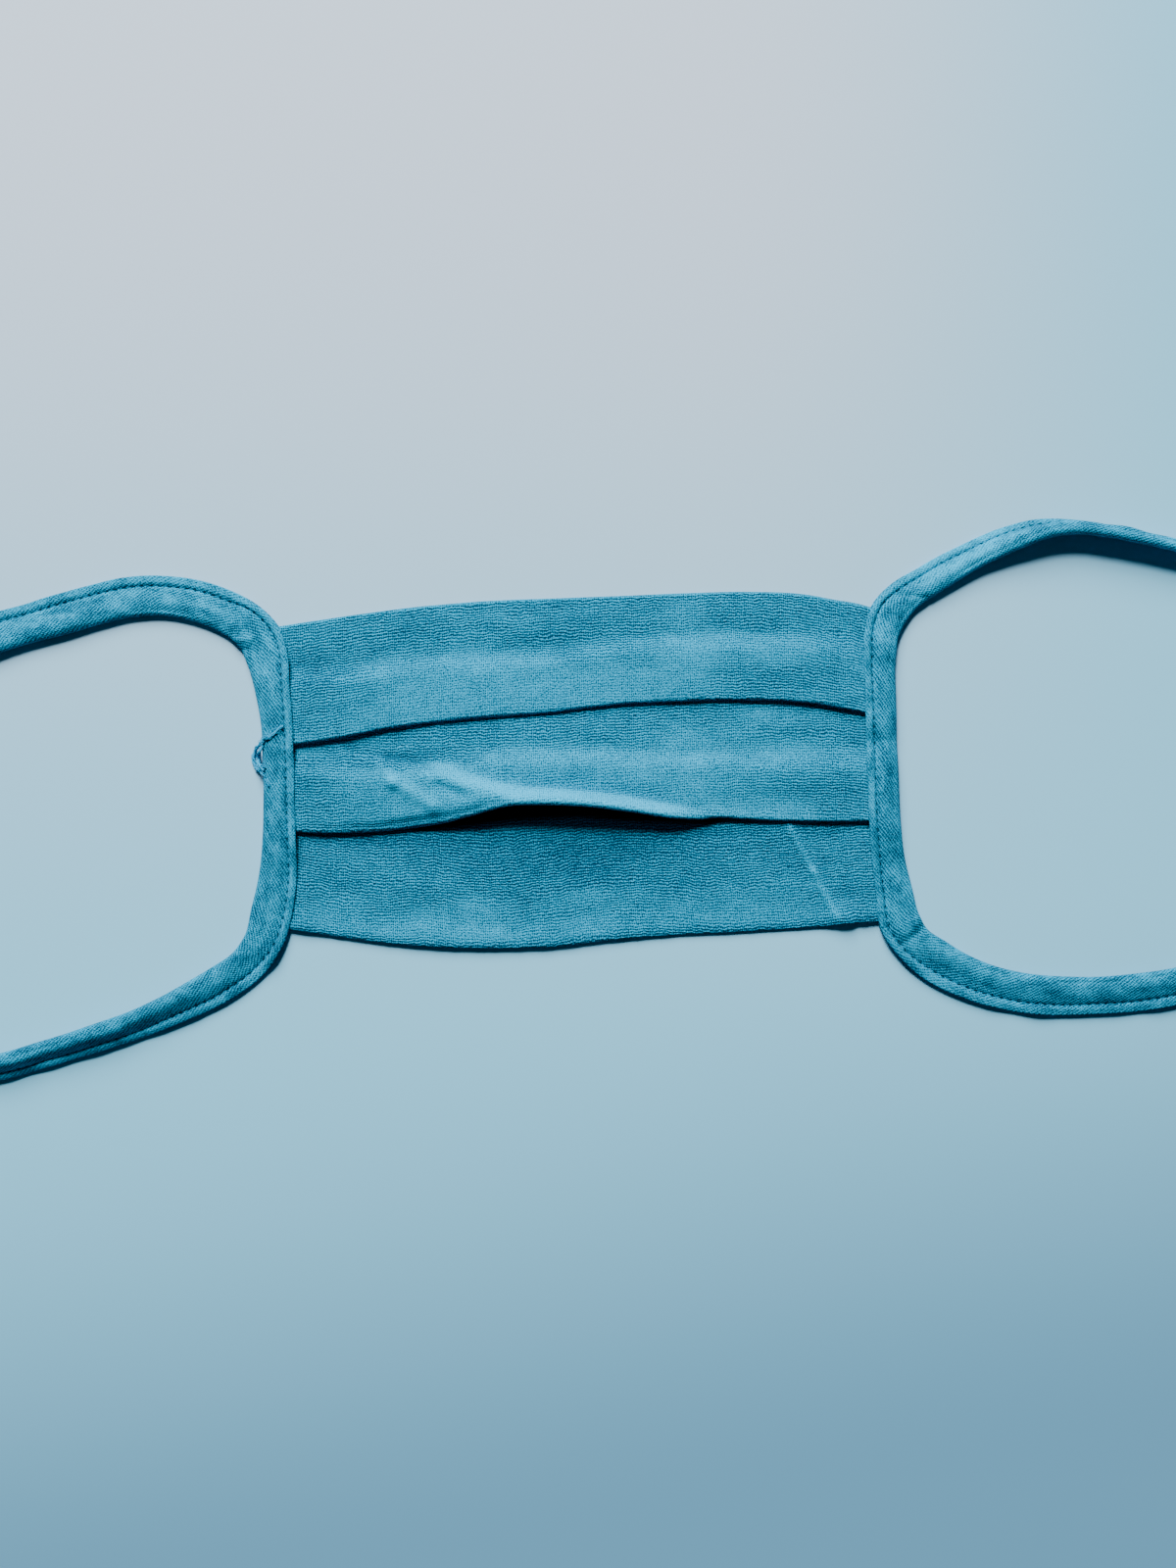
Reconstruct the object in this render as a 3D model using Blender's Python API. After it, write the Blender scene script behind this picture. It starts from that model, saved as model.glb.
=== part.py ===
"""A pleated linen face mask, lying flat on a table with its outer side up.

It is sewn from three pieces of cloth. The panel is one sheet laid in two pleats
that open downwards. On each side a folded bias tape binds the panel's edge and
runs on past both corners as one closed ear loop.

Seen from above, +X is to the right, +Y is towards the panel's upper edge and +Z is
up, with the table at z = 0. The tables below are in millimetres from the panel's
middle, and the whole mask is shifted at the end so that the origin lies under the
centre of its box.
"""

import math

import bpy
import numpy as np

MM = 0.001

# Cloth
PANEL_WALL = 1.0        # two plies of crinkled linen
TAPE_LEAF = 1.2         # one leaf of the folded tape, itself a doubled strip
CLEARANCE = 0.3         # between cloth faces that touch
LAYER = PANEL_WALL + CLEARANCE

# Panel
PANEL_LEFT = -88.5      # the panel's side edges, inside the bindings
PANEL_RIGHT = 88.0
PANEL_FLARE = 4.7       # how far the right edge swings out at its lower corner
FLARE_START = 5.0       # height at which the right edge starts to swing out
FLARE_REACH = 50.0
CUT_HEIGHT = 150.0      # height of the sheet before it is pleated
RAMP = 5.0              # length of cloth that climbs onto a pleat
FOLD_CLEAR = 0.8        # the climb ends this far before the pleat's hidden fold
PANEL_COLUMNS = 29
HELD_RIM = 6.5          # the rim that lies on the binding's lower leaf
RIM_EASE = 9.0          # width over which it comes down to the table
CLIMB_STEPS = (0.72, 0.45, 0.2, 0.0)
NOSE_GROWTH = 0.10      # how much rounder a lifted fold is, for each mm of lift
LIFT_LEAD = 3.0         # the lift starts this far above the pleat's hidden fold
CURL_REACH = 8.0        # height of the strip of hem that curls up
HEM_STEPS = (4.0, 1.5, 0.0)

# Places along the panel's width: the height of its upper edge, of its two visible
# folds and of its lower edge, and how far the lower fold gapes and the hem curls up.
PANEL_TABLE = ("x", "top", "upper_fold", "lower_fold", "bottom", "gape", "curl")
PANEL_ROWS = (
    (-88.5, 42.0, 6.9, -17.6, -45.3, 0.0, 0.3),
    (-71.1, 44.8, 9.5, -18.1, -48.1, 0.0, 0.3),
    (-55.9, 46.9, 12.5, -17.4, -50.1, 0.2, 0.5),
    (-46.7, 48.0, 13.8, -16.3, -50.8, 0.8, 0.7),
    (-40.0, 48.6, 14.6, -15.2, -51.2, 2.0, 0.8),
    (-31.7, 49.3, 15.4, -13.0, -51.4, 4.0, 0.9),
    (-21.0, 49.9, 16.2, -10.2, -51.4, 6.2, 0.9),
    (-9.2, 50.3, 17.1, -9.8, -50.9, 6.9, 0.8),
    (1.4, 50.7, 18.4, -10.3, -49.6, 6.7, 0.6),
    (14.7, 51.2, 19.8, -11.9, -48.3, 5.4, 0.3),
    (27.9, 51.8, 20.4, -13.8, -47.4, 3.2, 0.0),
    (34.0, 52.0, 20.6, -14.1, -47.1, 1.4, 0.0),
    (39.7, 52.2, 20.8, -13.6, -46.8, 0.7, 0.0),
    (48.4, 52.3, 20.8, -14.1, -46.3, 0.4, 0.0),
    (67.7, 51.3, 19.9, -14.7, -45.0, 0.0, 0.3),
    (74.0, 50.1, 18.9, -14.7, -44.2, 0.0, 1.6),
    (81.0, 48.8, 17.4, -14.7, -43.7, 0.0, 0.3),
    (88.0, 46.8, 16.1, -14.7, -43.6, 0.0, 0.0),
)

# Tapes
LOOP_LENGTH = 460.0     # the whole ring, binding and ear loop
SLIT = 0.35             # between the leaves where nothing lies between them
PUFF = 0.5              # how far the upper leaf bulges
PUFF_SKEW = 0.8         # below 1 brings the bulge nearer to the tape's fold
TAPE_SECTIONS = 60
RING_SAMPLES = 1200     # places at which a ring is measured
BEND_SPREAD = 31        # samples over which a bend's tightness is averaged
CURVE_CROWDING = 22.0   # how much closer sections stand in tight curves
OVERLAP_ROWS = 3        # guide rows repeated so that a ring closes smoothly
HIDDEN_POINTS = 6       # guide points round the plain far end of a loop
HANDLE_RANGE = (20.0, 160.0)
STACK_SHOULDER = 6.5    # length over which a binding climbs onto a pleat
STACK_LEAD = 1.5        # a binding stays high this far past a pleat's visible fold
STACK_TAIL = 2.8        # and this far past its hidden fold

# Places along a tape, from the binding's lower end up to its upper corner, out along
# the upper strap, and back along the lower one. The far end between the two straps
# is worked out. The width is that of the folded strap, less where it is twisted and
# puffed up. Roll lifts the folded edge in degrees, and open is 1 where the panel's
# edge lies between the leaves.
TAPE_TABLE = ("x", "y", "width", "roll", "open")
LEFT_OUTWARD = (
    (-90.2, -40.9, 12.0, 0.0, 1.0),
    (-88.7, -32.9, 11.0, 0.0, 1.0),
    (-87.9, -23.3, 9.9, 0.0, 1.0),
    (-87.8, -9.5, 9.0, 0.0, 1.0),
    (-88.1, 4.7, 8.8, 0.0, 1.0),
    (-88.5, 14.1, 8.9, 0.0, 1.0),
    (-89.7, 23.5, 10.2, 0.0, 1.0),
    (-91.3, 32.5, 11.8, 0.0, 1.0),
    (-93.6, 38.6, 12.4, 0.0, 1.0),
    (-96.5, 42.1, 12.4, 0.0, 1.0),
    (-106.5, 48.0, 12.0, 0.0, 0.0),
    (-115.3, 50.6, 11.8, 0.0, 0.0),
    (-123.7, 51.5, 11.5, 0.0, 0.0),
    (-132.1, 51.0, 11.4, 0.0, 0.0),
    (-141.6, 48.9, 11.5, 1.0, 0.0),
    (-150.8, 46.3, 11.6, 2.0, 0.0),
    (-160.0, 43.7, 11.6, 3.0, 0.0),
    (-170.0, 40.8, 11.6, 4.0, 0.0),
)
LEFT_INWARD = (
    (-170.0, -86.5, 8.3, 22.0, 0.0),
    (-157.4, -83.0, 8.3, 22.0, 0.0),
    (-148.2, -80.2, 8.3, 22.0, 0.0),
    (-139.0, -77.2, 8.4, 21.0, 0.0),
    (-129.9, -74.1, 8.7, 20.0, 0.0),
    (-121.6, -70.6, 9.2, 17.0, 0.0),
    (-113.3, -66.6, 10.0, 11.0, 0.0),
    (-104.9, -62.0, 10.5, 5.0, 0.0),
    (-97.5, -56.6, 10.7, 2.0, 0.0),
    (-92.9, -50.1, 11.2, 0.0, 1.0),
)
RIGHT_OUTWARD = (
    (94.1, -45.2, 11.7, 0.0, 1.0),
    (91.9, -35.2, 10.4, 0.0, 1.0),
    (90.1, -25.2, 9.3, 0.0, 1.0),
    (89.0, -15.3, 8.9, 0.0, 1.0),
    (88.4, -3.0, 8.8, 0.0, 1.0),
    (88.0, 9.0, 8.8, 0.0, 1.0),
    (87.6, 22.0, 8.8, 0.0, 1.0),
    (87.4, 33.0, 9.1, 0.0, 1.0),
    (88.3, 41.0, 10.0, 0.0, 1.0),
    (90.8, 46.6, 10.8, 0.0, 1.0),
    (94.7, 51.1, 10.2, 0.0, 0.3),
    (100.9, 55.2, 8.9, 2.0, 0.0),
    (108.9, 60.0, 8.6, 6.0, 0.0),
    (117.6, 64.5, 8.2, 12.0, 0.0),
    (127.0, 68.4, 7.8, 26.0, 0.0),
    (136.1, 70.9, 7.5, 42.0, 0.0),
    (145.3, 71.2, 7.4, 54.0, 0.0),
    (154.7, 69.9, 7.4, 60.0, 0.0),
    (164.8, 67.7, 7.4, 61.0, 0.0),
    (175.0, 65.5, 7.4, 61.0, 0.0),
)
RIGHT_INWARD = (
    (175.0, -62.9, 10.8, 3.0, 0.0),
    (162.0, -64.9, 10.9, 3.0, 0.0),
    (149.6, -65.7, 10.9, 3.0, 0.0),
    (138.5, -65.7, 11.0, 3.0, 0.0),
    (128.5, -64.7, 11.2, 2.0, 0.0),
    (119.5, -62.6, 11.4, 0.0, 0.0),
    (111.3, -59.5, 11.9, 0.0, 0.0),
    (104.0, -55.4, 12.2, 0.0, 0.0),
    (97.7, -50.4, 11.0, 0.0, 0.8),
)

LINEN = {"colour": (0.075, 0.345, 0.515, 1.0), "roughness": 0.92}
TAPE_LINEN = {"colour": (0.065, 0.320, 0.485, 1.0), "roughness": 0.90}


def clear_scene():
    for item in list(bpy.data.objects):
        bpy.data.objects.remove(item, do_unlink=True)


def linen_material(name, finish):
    material = bpy.data.materials.new(name)
    material.use_nodes = True
    shader = material.node_tree.nodes["Principled BSDF"]
    shader.inputs["Base Color"].default_value = finish["colour"]
    shader.inputs["Roughness"].default_value = finish["roughness"]
    shader.inputs["Metallic"].default_value = 0.0
    material.diffuse_color = finish["colour"]
    return material


def ease(amount):
    """Goes from 0 to 1 with level ends."""
    amount = np.clip(amount, 0.0, 1.0)
    return amount * amount * (3.0 - 2.0 * amount)


def table(names, rows):
    data = np.array(rows, dtype=float)
    return {name: data[:, place] for place, name in enumerate(names)}


def through(at, places, values):
    """A smooth curve through the values, with slopes taken from the neighbours."""
    slopes = np.gradient(values, places)
    left = np.clip(np.searchsorted(places, at, side="right") - 1, 0, len(places) - 2)
    span = places[left + 1] - places[left]
    along = (at - places[left]) / span
    rest = 1.0 - along
    start = (1.0 + 2.0 * along) * rest ** 2 * values[left] + along * rest ** 2 * span * slopes[left]
    stop = along ** 2 * (3.0 - 2.0 * along) * values[left + 1]
    return start + stop - along ** 2 * rest * span * slopes[left + 1]


def sheet_run(y, z):
    """A stretch of the sheet as points, with the direction that it runs in."""
    points = np.stack([y, z], axis=1)
    steps = np.gradient(points, axis=0)
    return points, steps / np.linalg.norm(steps, axis=1, keepdims=True)


def fold(y, z, radius, turn, steps):
    """A half turn of the sheet, down from the layer at z: +1 at a visible fold, -1 at a hidden one."""
    angle = np.linspace(0.0, math.pi, steps)[1:-1]
    points = np.stack([y - turn * radius * np.sin(angle), z - radius + radius * np.cos(angle)], axis=1)
    directions = np.stack([-turn * np.cos(angle), -np.sin(angle)], axis=1)
    return points, directions


def panel_section(row, lift_of_rim):
    """The sheet's middle surface in one upright slice, from its upper to its lower edge."""
    depth = (CUT_HEIGHT - (row["top"] - row["bottom"])) / 4.0
    half = PANEL_WALL / 2.0
    flat = half + lift_of_rim
    low, middle, high = flat, flat + LAYER, flat + 2.0 * LAYER
    tight = LAYER / 2.0
    nose = tight + NOSE_GROWTH * row["gape"]
    crest = high + row["gape"]
    upper = row["upper_fold"] + half + tight
    upper_hidden = row["upper_fold"] + depth - half - tight
    lower = row["lower_fold"] + half + nose
    reach = math.sqrt(depth ** 2 - row["gape"] ** 2)
    lower_hidden = row["lower_fold"] + reach - half - tight
    past_fold = half + tight + FOLD_CLEAR

    def climb(y, hidden):
        return low + (high - low) * ease((hidden + past_fold + RAMP - y) / RAMP)

    top = upper_hidden + past_fold
    y = np.concatenate([
        np.linspace(row["top"], top + RAMP, 3),
        top + RAMP * np.array(CLIMB_STEPS),
        np.linspace(top, upper, 4)[1:],
    ])
    upper_face = sheet_run(y, climb(y, upper_hidden))
    upper_fold = fold(upper, high, tight, 1.0, 5)
    upper_return = sheet_run(np.linspace(upper, upper_hidden, 3), np.full(3, middle))
    upper_tuck = fold(upper_hidden, middle, tight, -1.0, 5)

    top = lower_hidden + past_fold
    y = np.concatenate([
        np.linspace(upper_hidden, upper, 3),
        np.linspace(upper, top + RAMP, 3)[1:],
        top + RAMP * np.array(CLIMB_STEPS),
        np.linspace(top, lower, 7)[1:],
    ])
    lift = row["gape"] * ease((lower_hidden + LIFT_LEAD - y) / (lower_hidden + LIFT_LEAD - lower))
    middle_face = sheet_run(y, climb(y, lower_hidden) + lift)
    lower_fold = fold(lower, crest, nose, 1.0, 7)
    y = np.linspace(lower, lower_hidden, 5)
    fall = ease((y - lower) / (lower_hidden - lower))
    lower_return = sheet_run(y, (crest - 2.0 * nose) * (1.0 - fall) + middle * fall)
    lower_tuck = fold(lower_hidden, middle, tight, -1.0, 5)

    y = np.concatenate([
        np.linspace(lower_hidden, row["bottom"], 6)[:-1],
        row["bottom"] + np.array(HEM_STEPS),
    ])
    hem = row["curl"] * ease(1.0 - (y - row["bottom"]) / CURL_REACH)
    lower_face = sheet_run(y, low + hem)

    parts = (upper_face, upper_fold, upper_return, upper_tuck,
             middle_face, lower_fold, lower_return, lower_tuck, lower_face)
    points = np.concatenate([part[0] for part in parts])
    directions = np.concatenate([part[1] for part in parts])
    return points, directions


def panel_points():
    """Closed slices of the panel's wall: the outer side downwards, then the inner side back."""
    rows = table(PANEL_TABLE, PANEL_ROWS)
    slices = []
    for x in np.linspace(PANEL_LEFT, PANEL_RIGHT, PANEL_COLUMNS):
        row = {name: float(through(x, rows["x"], rows[name])) for name in PANEL_TABLE}
        row["gape"] = max(row["gape"], 0.0)
        row["curl"] = max(row["curl"], 0.0)
        inside = min(x - PANEL_LEFT, PANEL_RIGHT - x)
        rim = (TAPE_LEAF + CLEARANCE) * (1.0 - ease((inside - HELD_RIM) / RIM_EASE))
        points, directions = panel_section(row, rim)
        across = np.stack([directions[:, 1], -directions[:, 0]], axis=1) * PANEL_WALL / 2.0
        ring = np.concatenate([points + across, (points - across)[::-1]])
        swing = (np.clip(FLARE_START - ring[:, 0], 0.0, None) / FLARE_REACH) ** 2
        share = (x - PANEL_LEFT) / (PANEL_RIGHT - PANEL_LEFT)
        slices.append(np.column_stack([x + share * PANEL_FLARE * swing, ring]))
    return np.array(slices)


def stack_share(side, y):
    """How far a binding has climbed from one layer of the panel (0) to the three of a pleat (1)."""
    rows = table(PANEL_TABLE, PANEL_ROWS)
    edge = 0 if side < 0 else -1
    depth = (CUT_HEIGHT - (rows["top"][edge] - rows["bottom"][edge])) / 4.0
    share = np.zeros_like(y)
    for name in ("upper_fold", "lower_fold"):
        low = rows[name][edge] - STACK_LEAD
        high = rows[name][edge] + depth + STACK_TAIL
        outside = np.maximum(np.maximum(low - y, y - high), 0.0)
        share = np.maximum(share, 1.0 - ease(outside / STACK_SHOULDER))
    return share


def far_end(outward, inward, handle):
    """Guide points of the plain bend that closes a loop: one cubic curve between the straps."""
    start, stop = np.array(outward[-1]), np.array(inward[0])
    leaving = start[:2] - np.array(outward[-2][:2])
    coming = stop[:2] - np.array(inward[1][:2])
    leaving *= handle / np.linalg.norm(leaving)
    coming *= handle / np.linalg.norm(coming)
    share = np.linspace(0.0, 1.0, HIDDEN_POINTS + 2)[1:-1, None]
    rest = 1.0 - share
    place = rest ** 3 * start[:2] + 3.0 * rest ** 2 * share * (start[:2] + leaving)
    place = place + 3.0 * rest * share ** 2 * (stop[:2] + coming) + share ** 3 * stop[:2]
    others = start[2:] + (stop[2:] - start[2:]) * ease(share)
    return np.column_stack([place, others])


def ring_rows(outward, inward, handle):
    """All guide rows of a tape in order, with some repeated at each end so that the ring closes smoothly."""
    rows = np.concatenate([outward, far_end(outward, inward, handle), inward])
    rows = np.concatenate([rows[-OVERLAP_ROWS:], rows, rows[:OVERLAP_ROWS + 1]])
    steps = np.linalg.norm(np.diff(rows[:, :2], axis=0), axis=1)
    along = np.concatenate([[0.0], np.cumsum(steps)])
    return rows, along


def ring_curve(rows, along, at):
    return np.column_stack([through(at, along, rows[:, place]) for place in range(rows.shape[1])])


def ring_samples(rows, along):
    """Finely spaced places once round the ring, with their true distance along it."""
    at = np.linspace(along[OVERLAP_ROWS], along[-OVERLAP_ROWS - 1], RING_SAMPLES)
    places = ring_curve(rows, along, at)
    steps = np.linalg.norm(np.diff(places[:, :2], axis=0), axis=1)
    return at, places, np.concatenate([[0.0], np.cumsum(steps)])


def fitted_ring(outward, inward):
    """The ring whose far end reaches out just far enough to give it the tape's whole length."""
    near, far = HANDLE_RANGE
    for _ in range(40):
        handle = (near + far) / 2.0
        rows, along = ring_rows(outward, inward, handle)
        if ring_samples(rows, along)[2][-1] < LOOP_LENGTH:
            near = handle
        else:
            far = handle
    return rows, along


def tape_sections(outward, inward):
    """Guide values at each section, with sections crowded where the tape bends."""
    rows, along = fitted_ring(outward, inward)
    at, places, distance = ring_samples(rows, along)
    heading = np.unwrap(np.arctan2(np.gradient(places[:, 1]), np.gradient(places[:, 0])))
    bend = np.abs(np.gradient(heading, distance))
    spread = np.ones(BEND_SPREAD) / BEND_SPREAD
    weight = np.cumsum(1.0 + CURVE_CROWDING * np.convolve(bend, spread, mode="same"))
    share = np.arange(TAPE_SECTIONS) / TAPE_SECTIONS
    chosen = np.interp(share * (weight[-1] - weight[0]) + weight[0], weight, at)
    step = (at[1] - at[0]) * 0.5
    ahead = ring_curve(rows, along, chosen + step)[:, :2]
    behind = ring_curve(rows, along, chosen - step)[:, :2]
    forward = (ahead - behind) / np.linalg.norm(ahead - behind, axis=1, keepdims=True)
    return ring_curve(rows, along, chosen), forward


def tape_profile(width, mouth, puff):
    """One section as points across and up: two leaves joined by the fold, hollow between them."""
    half = TAPE_LEAF / 2.0
    radius = (mouth + TAPE_LEAF) / 2.0
    bend = -width / 2.0 + half + radius
    edge = width / 2.0
    angle = np.linspace(-90.0, -270.0, 5) * math.pi / 180.0
    share = np.array([0.0, 0.4, 0.75, 1.0])
    across = np.concatenate([[edge, 0.5 * (edge + bend)], bend + radius * np.cos(angle),
                             bend + (edge - bend) * share[1:]])
    up = np.concatenate([[half, half], half + radius + radius * np.sin(angle),
                         half + 2.0 * radius + puff * np.sin(math.pi * share[1:] ** PUFF_SKEW)])
    middle = np.column_stack([across, up])
    steps = np.gradient(middle, axis=0)
    steps[0], steps[-1] = (-1.0, 0.0), (1.0, 0.0)
    arc = slice(2, 7)
    steps[arc] = np.column_stack([np.sin(angle), -np.cos(angle)])
    steps /= np.linalg.norm(steps, axis=1, keepdims=True)
    offset = np.column_stack([steps[:, 1], -steps[:, 0]]) * half
    return np.concatenate([middle + offset, (middle - offset)[::-1]])


def tape_points(side, outward, inward):
    """Closed sections round the ring, each rolled about the tape's line and set down on the table."""
    places, forward = tape_sections(outward, inward)
    guide = table(TAPE_TABLE, places)
    open_share = np.clip(guide["open"], 0.0, 1.0)
    held = 2.0 * CLEARANCE + PANEL_WALL + 2.0 * LAYER * stack_share(side, guide["y"])
    mouths = open_share * held + (1.0 - open_share) * SLIT
    rolls = np.radians(np.clip(guide["roll"], 0.0, None))
    to_edge = -side * np.column_stack([forward[:, 1], -forward[:, 0]])
    rings = []
    for centre, width, roll, mouth, way in zip(places[:, :2], guide["width"], rolls, mouths, to_edge):
        profile = tape_profile(width, mouth, PUFF)
        across = profile[:, 0] * math.cos(roll) + profile[:, 1] * math.sin(roll)
        up = profile[:, 1] * math.cos(roll) - profile[:, 0] * math.sin(roll)
        across -= 0.5 * (across.max() + across.min())
        rings.append(np.column_stack([centre + across[:, None] * way, up - up.min()]))
    return np.array(rings)


def closed_mesh(name, rings, joined_ends, shift, material):
    """Joins closed sections into one solid; a ring of sections meets itself, a row gets two walls."""
    count, around = rings.shape[:2]
    corner = np.arange(count * around).reshape(count, around)
    following = np.roll(corner, -1, axis=1)
    if joined_ends:
        here, ahead = corner, np.roll(corner, -1, axis=0)
        following_ahead = np.roll(following, -1, axis=0)
    else:
        here, ahead = corner[:-1], corner[1:]
        following_ahead = following[1:]
    side = following[: len(here)]
    faces = np.stack([here, ahead, following_ahead, side], axis=-1).reshape(-1, 4).tolist()
    if not joined_ends:
        half = around // 2
        for end, turn in ((corner[0], 1), (corner[-1], -1)):
            for step in range(half - 1):
                quad = [end[step], end[step + 1], end[around - 2 - step], end[around - 1 - step]]
                faces.append([int(index) for index in quad[::turn]])
    mesh = bpy.data.meshes.new(name)
    mesh.from_pydata(((rings.reshape(-1, 3) - shift) * MM).tolist(), [], faces)
    mesh.validate()
    if mesh_volume(mesh) < 0.0:
        mesh.flip_normals()
    mesh.shade_smooth()
    mesh.materials.append(material)
    item = bpy.data.objects.new(name, mesh)
    bpy.context.collection.objects.link(item)
    return item


def mesh_volume(mesh):
    mesh.calc_loop_triangles()
    points = np.array([vertex.co[:] for vertex in mesh.vertices])
    corners = points[np.array([triangle.vertices[:] for triangle in mesh.loop_triangles])]
    return float(np.sum(np.cross(corners[:, 0], corners[:, 1]) * corners[:, 2]) / 6.0)


def build_mask():
    clear_scene()
    panel = panel_points()
    left = tape_points(-1.0, LEFT_OUTWARD, LEFT_INWARD)
    right = tape_points(1.0, RIGHT_OUTWARD, RIGHT_INWARD)
    everything = np.concatenate([part.reshape(-1, 3) for part in (panel, left, right)])
    low, high = everything.min(axis=0), everything.max(axis=0)
    shift = np.array([(low[0] + high[0]) / 2.0, (low[1] + high[1]) / 2.0, low[2]])
    panel_linen = linen_material("crinkled_linen", LINEN)
    tape_linen = linen_material("bias_linen", TAPE_LINEN)
    closed_mesh("pleated_panel", panel, False, shift, panel_linen)
    closed_mesh("left_ear_loop", left, True, shift, tape_linen)
    closed_mesh("right_ear_loop", right, True, shift, tape_linen)


build_mask()
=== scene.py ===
"""The looks of a pleated linen face mask that lies on a pale table, seen from straight above.

Sizes in the tables are millimetres from the panel's middle, as in the solids that the mask
is built around; everything is moved onto those solids and turned to metres when its mesh is
made. +X is to the right in the view, +Y towards the panel's upper edge, +Z up.
"""

import math

import bpy
import numpy as np
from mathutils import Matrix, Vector


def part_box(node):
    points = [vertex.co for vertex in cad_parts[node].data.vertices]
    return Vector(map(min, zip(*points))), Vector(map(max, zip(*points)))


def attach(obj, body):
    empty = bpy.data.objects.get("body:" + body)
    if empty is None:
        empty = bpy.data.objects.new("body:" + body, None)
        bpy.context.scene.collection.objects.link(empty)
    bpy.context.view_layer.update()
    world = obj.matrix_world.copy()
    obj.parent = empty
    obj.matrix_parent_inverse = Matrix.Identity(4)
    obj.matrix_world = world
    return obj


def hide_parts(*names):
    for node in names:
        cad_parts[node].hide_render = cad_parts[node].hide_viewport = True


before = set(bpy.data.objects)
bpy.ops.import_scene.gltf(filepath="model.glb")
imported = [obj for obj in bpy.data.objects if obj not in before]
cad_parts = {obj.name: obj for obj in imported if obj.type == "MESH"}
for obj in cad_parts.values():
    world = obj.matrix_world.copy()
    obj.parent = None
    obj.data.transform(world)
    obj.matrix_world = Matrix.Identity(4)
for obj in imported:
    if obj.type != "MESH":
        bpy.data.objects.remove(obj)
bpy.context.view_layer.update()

MM = 0.001
TURN = 2.0 * math.pi
LATTICE = 97  # corners each way before a field of random hills repeats
CAP_STEP, CAP_POINTS = 0.3, 3  # of the round ends of a wall: cloth a step takes, and points

# The view: millimetres on the table for each pixel of a picture 1200 wide and 1600 high
MM_PER_PIXEL = 0.288
PICTURE_SIZE = (1200, 1600)
PANEL_MIDDLE_PIXEL = (592.0, 787.0)
LENS = 35.0
SENSOR = 36.0

# Panel
PANEL_WALL = 0.8
PLY_STEP = 1.0  # from one layer of a pleat to the next
PANEL_LEFT, PANEL_RIGHT = -88.5, 88.0
PANEL_FLARE, FLARE_START, FLARE_REACH = 4.7, 5.0, 50.0
CUT_HEIGHT = 150.0
RAMP = 7.0
FOLD_CLEAR = 0.8
HELD_RIM, RIM_EASE = 6.0, 8.0
NOSE_GROWTH = 0.04
NOSE_SWELL = (-47.0, 13.0, 0.8)  # where the lower fold is rounder: middle, half width, radius
CURL_REACH = 8.0
PANEL_COLUMNS = 206
FACE_STEPS = (46, 60, 54)  # points of a slice down each visible face
UNDER_STEPS = (9, 12)  # and back under it
FOLD_STEPS, TURN_STEPS = (7, 13), 5  # round each fold that shows, and round a hidden one
ROLL_FLANK = 2.3  # half the width of the slope at the lifted roll
ROLL_LEAN = 40.0  # degrees at which the cloth still rises where it meets a gaping fold
DROOP_REACH = 2.4  # width of the strip where the roll drops to the fold's own height
BROAD_LIFT = 0.3  # share of the lift that rises over the whole face, not at the roll
# The roll's top is tauter and, as painted highlight, paler than the flat cloth
ROLL_TAUT_HIGHLIGHT = 1.6  # how much tauter than flat cloth the roll's top is
# Start and width of the painted shade, near black, under each fold
TUCK_SHADE_UPPER, TUCK_SHADE_LOWER = (0.2, 1.6), (-0.7, 1.8)  # start and width of the dark under a fold

# Where the lower fold would lie closed, where the painted shade under the gape starts: places
# along the width, and heights there
CLOSED_LINE = (
    (-66.0, -48.0, -36.0, -20.0, 0.0, 18.0, 34.0),
    (-19.4, -18.4, -16.9, -14.6, -13.8, -15.2, -15.7),
)

# Heights of the panel's edges and folds along its width, then the line of the lifted roll
# above the lower fold, the lift there and at the fold itself, and the curl of the hem.
PANEL_TABLE = ("x", "top", "upper_fold", "lower_fold", "bottom",
               "roll_line", "roll", "gape", "curl")
PANEL_ROWS = (
    (-88.5, 42.0, 6.9, -17.6, -45.3, 4.0, 0.0, 0.0, 0.3),
    (-71.1, 44.8, 9.5, -18.1, -48.1, 4.0, 0.5, 0.0, 0.3),
    (-55.9, 46.9, 12.5, -17.4, -50.1, 3.4, 1.4, 0.2, 0.5),
    (-46.7, 48.0, 13.8, -16.3, -50.8, 1.8, 2.1, 0.8, 0.7),
    (-40.0, 48.6, 14.6, -15.2, -51.2, -0.3, 3.1, 2.0, 0.8),
    (-31.7, 49.3, 15.4, -13.0, -51.4, -2.9, 4.8, 4.0, 0.9),
    (-21.0, 49.9, 16.2, -10.2, -51.4, -5.9, 6.4, 6.2, 0.9),
    (-9.2, 50.3, 17.1, -9.8, -50.9, -7.2, 6.9, 6.9, 0.8),
    (1.4, 50.7, 18.4, -10.3, -49.6, -8.2, 6.7, 6.7, 0.6),
    (14.7, 51.2, 19.8, -11.9, -48.3, -10.0, 5.4, 5.4, 0.3),
    (27.9, 51.8, 20.4, -13.8, -47.4, -12.0, 3.2, 3.2, 0.0),
    (34.0, 52.0, 20.6, -14.1, -47.1, -12.9, 1.4, 1.4, 0.0),
    (39.7, 52.2, 20.8, -13.6, -46.8, -12.5, 0.7, 0.7, 0.0),
    (48.4, 52.3, 20.8, -14.1, -46.3, -12.5, 0.4, 0.4, 0.0),
    (67.7, 51.3, 19.9, -14.7, -45.0, -12.5, 0.0, 0.0, 0.3),
    (74.0, 50.1, 18.9, -14.7, -44.2, -12.5, 0.0, 0.0, 1.6),
    (81.0, 48.8, 17.4, -14.7, -43.7, -12.5, 0.0, 0.0, 0.3),
    (88.0, 46.8, 16.1, -14.7, -43.6, -12.5, 0.0, 0.0, 0.0),
)

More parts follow.
